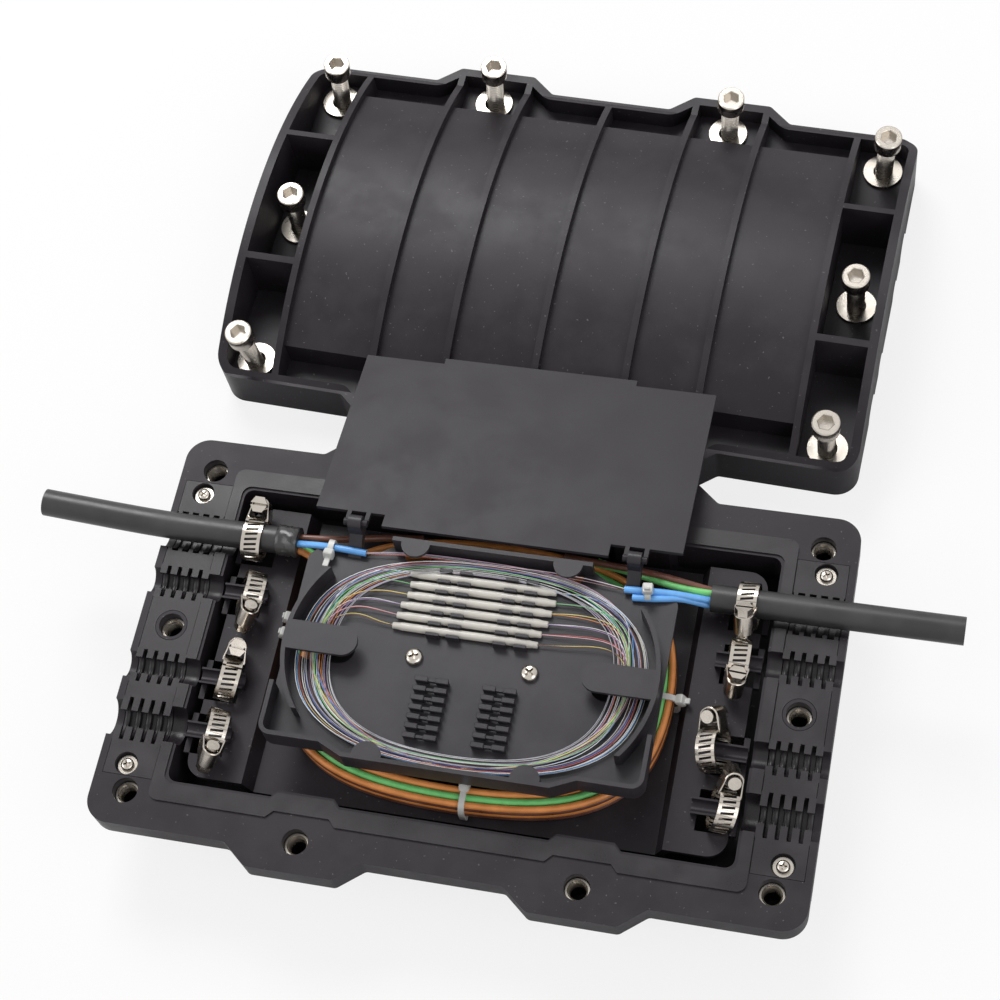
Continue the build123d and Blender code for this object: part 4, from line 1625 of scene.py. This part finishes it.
    def build(self) -> None:
        """Draw the coil, the leads and the entries, one piece for each colour and kind."""
        draw = random.Random(7)
        closed = self.turns(draw)
        opened = self.leads(draw)
        for tint, routes in self.entries(draw).items():
            opened.setdefault(tint, []).extend(routes)
        first = True
        for kind, groups, loop in (("turns", closed, True), ("leads", opened, False)):
            for tint, routes in groups.items():
                material = self.finishes.coating(tint, "fibre", 0.34)
                name = f"fibre_{kind}_{tint.name.lower()}"
                piece = curve_piece(name, routes, self.radius, material, loop, 1)
                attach(piece, "base")
                if first:
                    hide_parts("fibre_loop")
                    first = False
                LOG.info("fibre %s %s: %d", kind, tint.name, len(routes))


@dataclass
class Splices:
    """Clear heat-shrink sleeves over steel rods, six in a row.

    Attributes:
        finishes: finishes of the box.
        rows: Y of each sleeve, with its left and right ends, in millimetres.
        axis_z: Z of the sleeves' axis.
        radius: outer radius of a sleeve.
        rod: radius of the steel rod.
        rod_drop: how far the rod lies under the sleeve's axis.
        bore: radius of a sleeve's bore against its own.
        ends: distance from a sleeve's end and radius there against its own, from the end inwards.
        rod_ends: the same for a rod.
    """

    finishes: Finishes
    rows: tuple[tuple[float, float, float], ...]
    axis_z: float = 55.15 * MM
    radius: float = 1.7 * MM
    rod: float = 0.8 * MM
    rod_drop: float = 0.35 * MM
    bore: float = 0.5
    ends: tuple[tuple[float, float], ...] = ((0.0, 0.72), (0.15, 0.8), (2.4, 0.84), (4.0, 1.0))
    rod_ends: tuple[tuple[float, float], ...] = ((2.6, 0.7), (2.9, 1.0))

    def tube(self, sheet: bmesh.types.BMesh, y: float, low: float, high: float, core: bool) -> None:
        """One sleeve or one rod along X.

        Args:
            sheet: mesh that gets the faces.
            y: Y of its axis.
            low: X of its left end.
            high: X of its right end.
            core: whether it is the rod.
        """
        place = Matrix.Translation((0.0, y * MM, self.axis_z)) @ Matrix.Rotation(math.pi / 2, 4, "Y")
        ends = self.rod_ends if core else self.ends
        skin = [(low + inward, share) for inward, share in ends]
        skin += [(high - inward, share) for inward, share in reversed(ends)]
        if core:
            place = place @ Matrix.Translation((self.rod_drop, 0.0, 0.0))
            loft(sheet, [circle(self.rod * share, x * MM, 12) for x, share in skin], place)
            return
        skin += [(high - 0.1, self.bore), (low + 0.1, self.bore)]
        loft(sheet, [circle(self.radius * share, x * MM, 16) for x, share in skin], place, closed=True)

    def build(self) -> None:
        """Make the sleeves and rods."""
        for name, finish, core in (
            ("splice_sleeves", self.finishes.sleeve, False),
            ("splice_rods", self.finishes.rod, True),
        ):

            def fill(sheet: bmesh.types.BMesh, core: bool = core) -> None:
                """All sleeves or all rods."""
                for y, low, high in self.rows:
                    self.tube(sheet, y, low, high, core)

            piece = mesh_piece(name, fill, self.finishes.get(finish))
            smooth(piece, 50.0)
            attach(piece, "base")
            if not core:
                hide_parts("splice_protectors")
            LOG.info("%s: %d", name, len(self.rows))


@dataclass
class Tubes:
    """Loose tubes: the coil under the tray and the leads from the cables.

    Attributes:
        finishes: finishes of the box.
        radius: radius of a tube.
        half: half length and half width of the coil's outer turn.
        floor: Z of the plate that the coil lies on.
        gap: gap between two turns.
        wave: rise and fall of every other layer.
        squareness: how square the turns are, 2 for an ellipse.
        order: colours of each layer, from the outer turn in.
    """

    finishes: Finishes
    radius: float = 1.45 * MM
    half: tuple[float, float] = (79.4 * MM, 56.9 * MM)
    floor: float = 28.7 * MM
    gap: float = 0.1 * MM
    wave: float = 0.25 * MM
    squareness: float = 2.7
    order: tuple[tuple[Tint, ...], ...] = (
        (Tint.BROWN, Tint.ORANGE, Tint.GREEN),
        (Tint.ORANGE, Tint.GREEN, Tint.BROWN),
        (Tint.BROWN, Tint.GREEN, Tint.ORANGE),
        (Tint.ORANGE, Tint.GREEN, Tint.ORANGE),
    )

    def coil(self) -> dict[Tint, list[list[Point]]]:
        """Turns of the coil.

        Returns:
            Routes of each colour.
        """
        routes: dict[Tint, list[list[Point]]] = {}
        pitch = 2 * self.radius + self.gap
        for layer, row in enumerate(self.order):
            height = self.floor + self.radius + 0.05 * MM + layer * pitch
            sway = self.wave * (layer % 2)

            def rise(turn: float, height: float = height, sway: float = sway) -> float:
                """Height of this layer."""
                return height + sway * abs(math.sin(turn))

            for column, tint in enumerate(row):
                half = (self.half[0] - column * pitch, self.half[1] - column * pitch)
                routes.setdefault(tint, []).append(oval(half, (0.0, 0.0), rise, self.squareness))
        return routes

    def leads(self) -> dict[Tint, list[tuple[Point, ...]]]:
        """Leads from the cables, by colour, in millimetres."""
        return {
            Tint.BLUE: [
                (
                    (-85.0, 41.0, 49.6), (-80.0, 40.9, 50.6), (-73.0, 39.8, 54.2), (-67.0, 38.9, 55.7),
                    (-60.0, 38.4, 56.3), (-52.8, 38.2, 55.9),
                ),
                (
                    (89.6, 40.9, 48.8), (84.0, 40.4, 50.2), (76.0, 39.2, 54.4), (69.0, 38.4, 55.7),
                    (62.0, 37.9, 56.2), (54.9, 37.6, 55.8),
                ),
                (
                    (89.6, 39.6, 46.6), (84.0, 39.3, 48.2), (79.0, 38.9, 51.9), (72.0, 36.4, 55.0),
                    (66.0, 35.2, 55.2), (58.5, 34.9, 55.0),
                ),
            ],
            Tint.ORANGE: [
                (
                    (-85.0, 39.6, 46.4), (-81.0, 39.0, 46.0), (-77.0, 37.6, 44.5), (-72.0, 33.0, 43.0),
                    (-70.5, 24.0, 42.4),
                ),
            ],
            Tint.GREEN: [
                (
                    (-85.0, 42.2, 44.9), (-80.0, 41.2, 44.2), (-75.0, 38.5, 43.2), (-68.0, 34.0, 42.2),
                    (-62.0, 26.0, 42.2),
                ),
                (
                    (89.6, 43.4, 49.9), (84.0, 43.2, 50.4), (76.0, 43.6, 50.6), (68.0, 45.4, 49.6),
                    (60.0, 48.4, 47.0), (48.0, 52.0, 43.0), (34.0, 54.2, 41.6),
                ),
                (
                    (89.6, 44.9, 45.8), (84.0, 44.8, 46.4), (76.0, 45.9, 47.0), (66.0, 48.0, 45.4),
                    (54.0, 51.0, 42.6), (40.0, 54.6, 41.5),
                ),
            ],
            Tint.BROWN: [
                (
                    (-85.0, 44.9, 47.4), (-79.0, 45.2, 47.8), (-70.0, 46.0, 47.4), (-60.0, 49.0, 45.0),
                    (-48.0, 52.4, 42.6), (-34.0, 54.4, 41.6),
                ),
                (
                    (89.6, 45.2, 48.4), (84.0, 45.6, 49.6), (76.0, 46.6, 50.8), (66.0, 48.2, 50.4),
                    (54.0, 50.6, 47.4), (40.0, 53.0, 43.6), (26.0, 54.4, 42.2),
                ),
            ],
        }

    def build(self) -> None:
        """Draw the coil and the leads, one piece for each colour."""
        first = True
        for tint, routes in self.coil().items():
            material = self.finishes.coating(tint, "tube", 0.28)
            piece = curve_piece(f"coil_{tint.name.lower()}", routes, self.radius, material, True, 3)
            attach(piece, "base")
            if first:
                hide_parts("slack_tubes")
                first = False
            LOG.info("coil %s: %d", tint.name, len(routes))
        for tint, routes in self.leads().items():
            material = self.finishes.coating(tint, "tube", 0.28)
            lines = [metres(route) for route in routes]
            piece = curve_piece(f"tube_{tint.name.lower()}", lines, self.radius, material, False, 3)
            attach(piece, "base")
            LOG.info("tube %s: %d", tint.name, len(routes))


@dataclass(frozen=True)
class TiePlace:
    """Where a cable tie goes round its bundle, in millimetres.

    Attributes:
        name: name of the piece.
        centre: middle of the bundle.
        along: direction of the bundle in degrees from +X.
        half: half width and half height inside the loop.
        head: direction of the head in degrees, 0 to the side and 90 upwards.
        tail: length of the tail.
    """

    name: str
    centre: Point
    along: float
    half: tuple[float, float]
    head: float
    tail: float


@dataclass
class Ties:
    """Nylon cable ties round the tubes.

    Attributes:
        finishes: finishes of the box.
        places: the ties.
        width: width of the strap.
        thick: thickness of the strap.
        power: how square the loop is, 1 for an ellipse.
        steps: steps round the loop.
        head_half: half width of the head.
        head_span: distance of the head's two faces from the loop, in millimetres.
        tail_turn: turn of the tail against the head, in degrees.
    """

    finishes: Finishes
    places: tuple[TiePlace, ...] = (
        TiePlace("tie_left_tubes", (-67.7, 39.2, 55.2), -4.0, (2.0, 2.0), 162.0, 4.0),
        TiePlace("tie_right_tubes", (64.5, 37.6, 55.4), 6.0, (2.6, 2.1), 90.0, 3.0),
        TiePlace("tie_coil_front", (5.3, -53.6, 34.9), 0.0, (5.6, 7.0), 60.0, 2.0),
        TiePlace("tie_coil_right", (76.4, 0.0, 34.9), 90.0, (5.6, 7.0), 150.0, 2.0),
        TiePlace("tie_coil_left_back", (-76.4, 12.0, 34.9), 90.0, (5.6, 7.0), 25.0, 1.0),
        TiePlace("tie_coil_left_front", (-76.4, 5.0, 34.9), 90.0, (5.6, 7.0), 25.0, 1.0),
    )
    width: float = 2.4 * MM
    thick: float = 0.9 * MM
    power: float = 0.75
    steps: int = 28
    head_half: float = 2.1 * MM
    head_span: tuple[float, float] = (0.4, 3.6)
    tail_turn: float = 14.0

    def rim(self, spot: TiePlace, turn: float, grow: float = 0.0) -> Vector:
        """A point of the loop.

        Args:
            spot: the tie.
            turn: direction of the point.
            grow: how far it lies outside the bundle.

        Returns:
            The point in the loop's plane.
        """
        wide, high = (
            squared(share, self.power) * (half * MM + grow)
            for share, half in zip((math.cos(turn), math.sin(turn)), spot.half)
        )
        return Vector((wide, high, 0.0))

    def tie(self, sheet: bmesh.types.BMesh, spot: TiePlace) -> None:
        """One tie: strap, head and tail.

        Args:
            sheet: mesh that gets the faces.
            spot: where it goes.
        """
        place = (
            Matrix.Translation(Vector(spot.centre) * MM)
            @ Matrix.Rotation(math.radians(spot.along), 4, "Z")
            @ Matrix(((0, 0, 1, 0), (1, 0, 0, 0), (0, 1, 0, 0), (0, 0, 0, 1)))
        )
        side = self.width / 2
        turns = [2 * math.pi * step / self.steps for step in range(self.steps)]
        loops = []
        for grow, lift in ((0.0, -side), (self.thick, -side), (self.thick, side), (0.0, side)):
            loops.append([self.rim(spot, turn, grow) + Vector((0.0, 0.0, lift)) for turn in turns])
        loft(sheet, loops, place, closed=True)
        turn = math.radians(spot.head)
        head = place @ Matrix.Translation(self.rim(spot, turn)) @ Matrix.Rotation(turn, 4, "Z")
        tail = head @ Matrix.Rotation(math.radians(self.tail_turn), 4, "Z")
        near, far = (face * MM for face in self.head_span)
        wide, deep = self.head_half, self.thick / 2
        block(sheet, (near, -wide, -wide), (far, wide, wide), head, 0.4 * MM)
        block(sheet, (3.0 * MM, -deep, -side), (far + spot.tail * MM, deep, side), tail, 0.15 * MM)

    def build(self) -> None:
        """Make the ties."""
        for spot in self.places:
            nylon = self.finishes.get(self.finishes.nylon)
            piece = mesh_piece(spot.name, lambda sheet: self.tie(sheet, spot), nylon)
            smooth(piece, 40.0)
            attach(piece, "base")
            LOG.info("%s", spot.name)


@dataclass
class Cables:
    """The two cut cables and the tape round the left one's inner end.

    Attributes:
        finishes: finishes of the box.
        radius: radius of a cable.
        y: Y of the axis inside the box.
        z: Z of the axis inside the box.
        routes: X of each cable's control points, and their Y and Z from the axis, in millimetres.
        wrap: distance from the left cable's inner end and radius of the tape there, in millimetres.
        folds: number and height in millimetres of the tape's uneven folds round the cable.
        tape_span: ends of the tape's inner side, in millimetres.
        tape_gap: gap between the tape and the cable.
        steps: steps round the tape.
    """

    finishes: Finishes
    radius: float = 5.75 * MM
    y: float = 42.7 * MM
    z: float = 47.18 * MM
    routes: tuple[tuple[str, tuple[Point, ...]], ...] = (
        (
            "left",
            (
                (-84.0, 0.0, 0.0),
                (-108.0, 0.0, 0.0),
                (-138.0, 0.0, 0.0),
                (-168.0, 0.7, 1.4),
                (-196.7, 1.6, 3.4),
            ),
        ),
        (
            "right",
            (
                (89.0, 0.0, 0.0),
                (112.0, 0.0, 0.0),
                (136.0, 0.0, 0.0),
                (163.0, 0.0, 0.3),
                (189.5, 0.0, 0.6),
            ),
        ),
    )
    wrap: tuple[tuple[float, float], ...] = (
        (0.0, 5.9),
        (0.25, 6.35),
        (2.2, 6.55),
        (2.5, 6.2),
        (4.6, 6.5),
        (4.9, 6.25),
        (7.2, 6.6),
        (9.2, 6.4),
        (9.5, 5.85),
    )
    folds: tuple[tuple[int, float], ...] = ((3, 0.12), (7, 0.08))
    tape_span: tuple[float, float] = (9.4, 0.1)
    tape_gap: float = 0.02 * MM
    steps: int = 32

    def cable(self, name: str, node: str, route: Sequence[Point]) -> bpy.types.Object:
        """One cable as a curve of one smooth spline.

        Args:
            name: name of the piece.
            node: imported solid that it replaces.
            route: control points from the inner end to the cut end.

        Returns:
            The curve object.
        """
        piece = spline_object(name, [route], self.radius, 9, 10, 3)
        piece.data.materials.append(self.finishes.get(self.finishes.jacket))
        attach(piece, "base")
        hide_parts(node)
        return piece

    def tape(self, sheet: bmesh.types.BMesh) -> None:
        """Turns of tape, uneven along and round the cable.

        Args:
            sheet: mesh that gets the faces.
        """
        start = self.routes[0][1][0][0] * MM
        draw = random.Random(3)
        place = Matrix.Translation((start, self.y, self.z)) @ Matrix.Rotation(-math.pi / 2, 4, "Y")
        (few, high), (many, low) = self.folds
        loops = []
        for along, reach in self.wrap:
            phase = draw.random() * 6.0
            loop = []
            for point in circle(1.0, along * MM, self.steps):
                turn = math.atan2(point.y, point.x)
                grow = reach + high * math.sin(few * turn + phase) + low * math.sin(many * turn - phase)
                loop.append(Vector((point.x * grow * MM, point.y * grow * MM, point.z)))
            loops.append(loop)
        loops += [circle(self.radius + self.tape_gap, along * MM, self.steps) for along in self.tape_span]
        loft(sheet, loops, place, closed=True)

    def build(self) -> None:
        """Lay both cables and wrap the tape."""
        wrap = mesh_piece("tape_turns", self.tape, self.finishes.get(self.finishes.tape))
        smooth(wrap, 60.0)
        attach(wrap, "base")
        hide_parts("tape_wrap")
        for side, route in self.routes:
            points = [(x * MM, self.y + y * MM, self.z + z * MM) for x, y, z in route]
            piece = self.cable(f"cut_cable_{side}", f"cable_{side}", points)
            length = sum((Vector(a) - Vector(b)).length for a, b in zip(points, points[1:]))
            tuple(points[0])
            LOG.info("cable %s: %.3f m", side, length)


@dataclass(frozen=True)
class Lamp:
    """A square soft lamp.

    Attributes:
        name: name of the lamp.
        place: where it hangs.
        size: side of the lamp.
        power: its power in watts.
    """

    name: str
    place: Point
    size: float
    power: float

    def hang(self, aim: Point) -> None:
        """Hang the lamp.

        Args:
            aim: point that it faces.
        """
        data = bpy.data.lights.new(self.name, "AREA")
        data.shape = "SQUARE"
        data.size = self.size
        data.energy = self.power
        lamp = linked(self.name, data)
        lamp.location = self.place
        lamp.rotation_euler = (Vector(self.place) - Vector(aim)).to_track_quat("Z", "Y").to_euler()


@dataclass
class Studio:
    """Pale floor, soft lamps and the camera.

    Attributes:
        azimuth: camera's direction from -Y, in degrees.
        elevation: camera's height above the horizon, in degrees.
        roll: camera's roll, in degrees.
        target: point that the camera looks at.
        distance: distance from the camera to that point.
        lens: focal length in millimetres.
        sensor: width of the sensor in millimetres.
        aim: point that the lamps face.
        lamps: the three lamps.
        floor_half: half side of the floor.
        floor_sunk: how far the floor lies under the box.
        floor_glow: how white the floor is to the camera.
        daylight: strength of the world as light.
        shown: what it gains where it is seen or mirrored.
    """

    azimuth: float = 24.34
    elevation: float = 62.37
    roll: float = -14.56
    target: Point = (-5.64 * MM, 76.03 * MM, 43.0 * MM)
    distance: float = 0.9303
    lens: float = 80.1
    sensor: float = 36.0
    aim: Point = (0.0, 0.08, 0.03)
    lamps: tuple[Lamp, ...] = (
        Lamp("key_lamp", (-0.7, 1.5, 1.9), 1.1, 38.0),
        Lamp("fill_lamp", (1.6, -0.9, 1.6), 1.6, 16.0),
        Lamp("rim_lamp", (-1.8, -0.4, 1.2), 1.2, 10.0),
    )
    floor_half: float = 3.0
    floor_sunk: float = 0.0002
    floor_glow: float = 0.8
    daylight: float = 0.38
    shown: float = 0.62

    def camera(self) -> None:
        """Place the camera at the photograph's view."""
        az, el, roll = (math.radians(angle) for angle in (self.azimuth, self.elevation, self.roll))
        back = Vector((math.sin(az) * math.cos(el), -math.cos(az) * math.cos(el), math.sin(el)))
        right = Vector((0.0, 0.0, 1.0)).cross(back).normalized()
        up = back.cross(right)
        turned_right = math.cos(roll) * right + math.sin(roll) * up
        turned_up = -math.sin(roll) * right + math.cos(roll) * up
        place = Vector(self.target) + back * self.distance
        data = bpy.data.cameras.new("studio_camera")
        data.sensor_width = self.sensor
        data.sensor_fit = "HORIZONTAL"
        data.lens = self.lens
        data.clip_start = 0.05
        data.clip_end = 20.0
        camera = linked("studio_camera", data)
        rows = Matrix((turned_right, turned_up, back)).transposed().to_4x4()
        camera.matrix_world = Matrix.Translation(place) @ rows
        bpy.context.scene.camera = camera

    def floor(self) -> None:
        """A pale floor that is nearly white to the camera and keeps a faint shadow."""
        material = bpy.data.materials.new("studio_floor")
        net = Net(material)
        plain = net.node("ShaderNodeBsdfDiffuse", None, {"Color": (0.86, 0.86, 0.86, 1.0)})
        glow = net.node("ShaderNodeEmission", None, {"Color": (1.0, 1.0, 1.0, 1.0), "Strength": 1.0})
        seen = net.node("ShaderNodeLightPath").other("Is Camera Ray")
        share = net.node("ShaderNodeMixShader", None, {0: seen * self.floor_glow, 1: plain, 2: glow})
        net.node("ShaderNodeOutputMaterial", None, {"Surface": share})

        def sheet_of(sheet: bmesh.types.BMesh) -> None:
            """One large square.

            Args:
                sheet: mesh that gets the square.
            """
            signs = ((-1, -1), (1, -1), (1, 1), (-1, 1))
            half = self.floor_half
            corners = [sheet.verts.new((x * half, y * half, -self.floor_sunk)) for x, y in signs]
            sheet.faces.new(corners)

        mesh_piece("studio_floor", sheet_of, material)

    def world(self) -> None:
        """White to the camera and to reflections, softer as light."""
        world = bpy.data.worlds.new("studio_world")
        bpy.context.scene.world = world
        net = Net(world)
        path = net.node("ShaderNodeLightPath")
        seen, clear, shine = (path.other(f"Is {kind} Ray") for kind in ("Camera", "Transmission", "Glossy"))
        level = (seen + clear + shine).above(0.0, 1.0) * self.shown + self.daylight
        back = net.node("ShaderNodeBackground", None, {"Color": (1.0, 1.0, 1.0, 1.0), "Strength": level})
        net.node("ShaderNodeOutputWorld", None, {"Surface": back})

    def build(self) -> None:
        """Set the whole studio."""
        bpy.context.scene.view_settings.view_transform = "Standard"
        self.camera()
        self.world()
        self.floor()
        for lamp in self.lamps:
            lamp.hang(self.aim)
        LOG.info("studio set")


def main() -> None:
    """Build every sub-assembly."""
    logging.basicConfig(level=logging.INFO, format="%(name)s: %(message)s")
    finishes = Finishes()
    Studio().build()
    Cables(finishes).build()
    Housing(finishes).dress()
    Bolts(finishes).build()
    Inserts(finishes).build()
    CrossScrews(finishes).build()
    CombBars(finishes).build()
    SealBeads(finishes).build()
    Clamps(finishes).build()
    fibres = Fibres(finishes)
    fibres.build()
    Splices(finishes, tuple(zip(fibres.splice_ys, fibres.left_ends, fibres.right_ends))).build()
    Tubes(finishes).build()
    Ties(finishes).build()


if __name__ == "__main__":
    main()
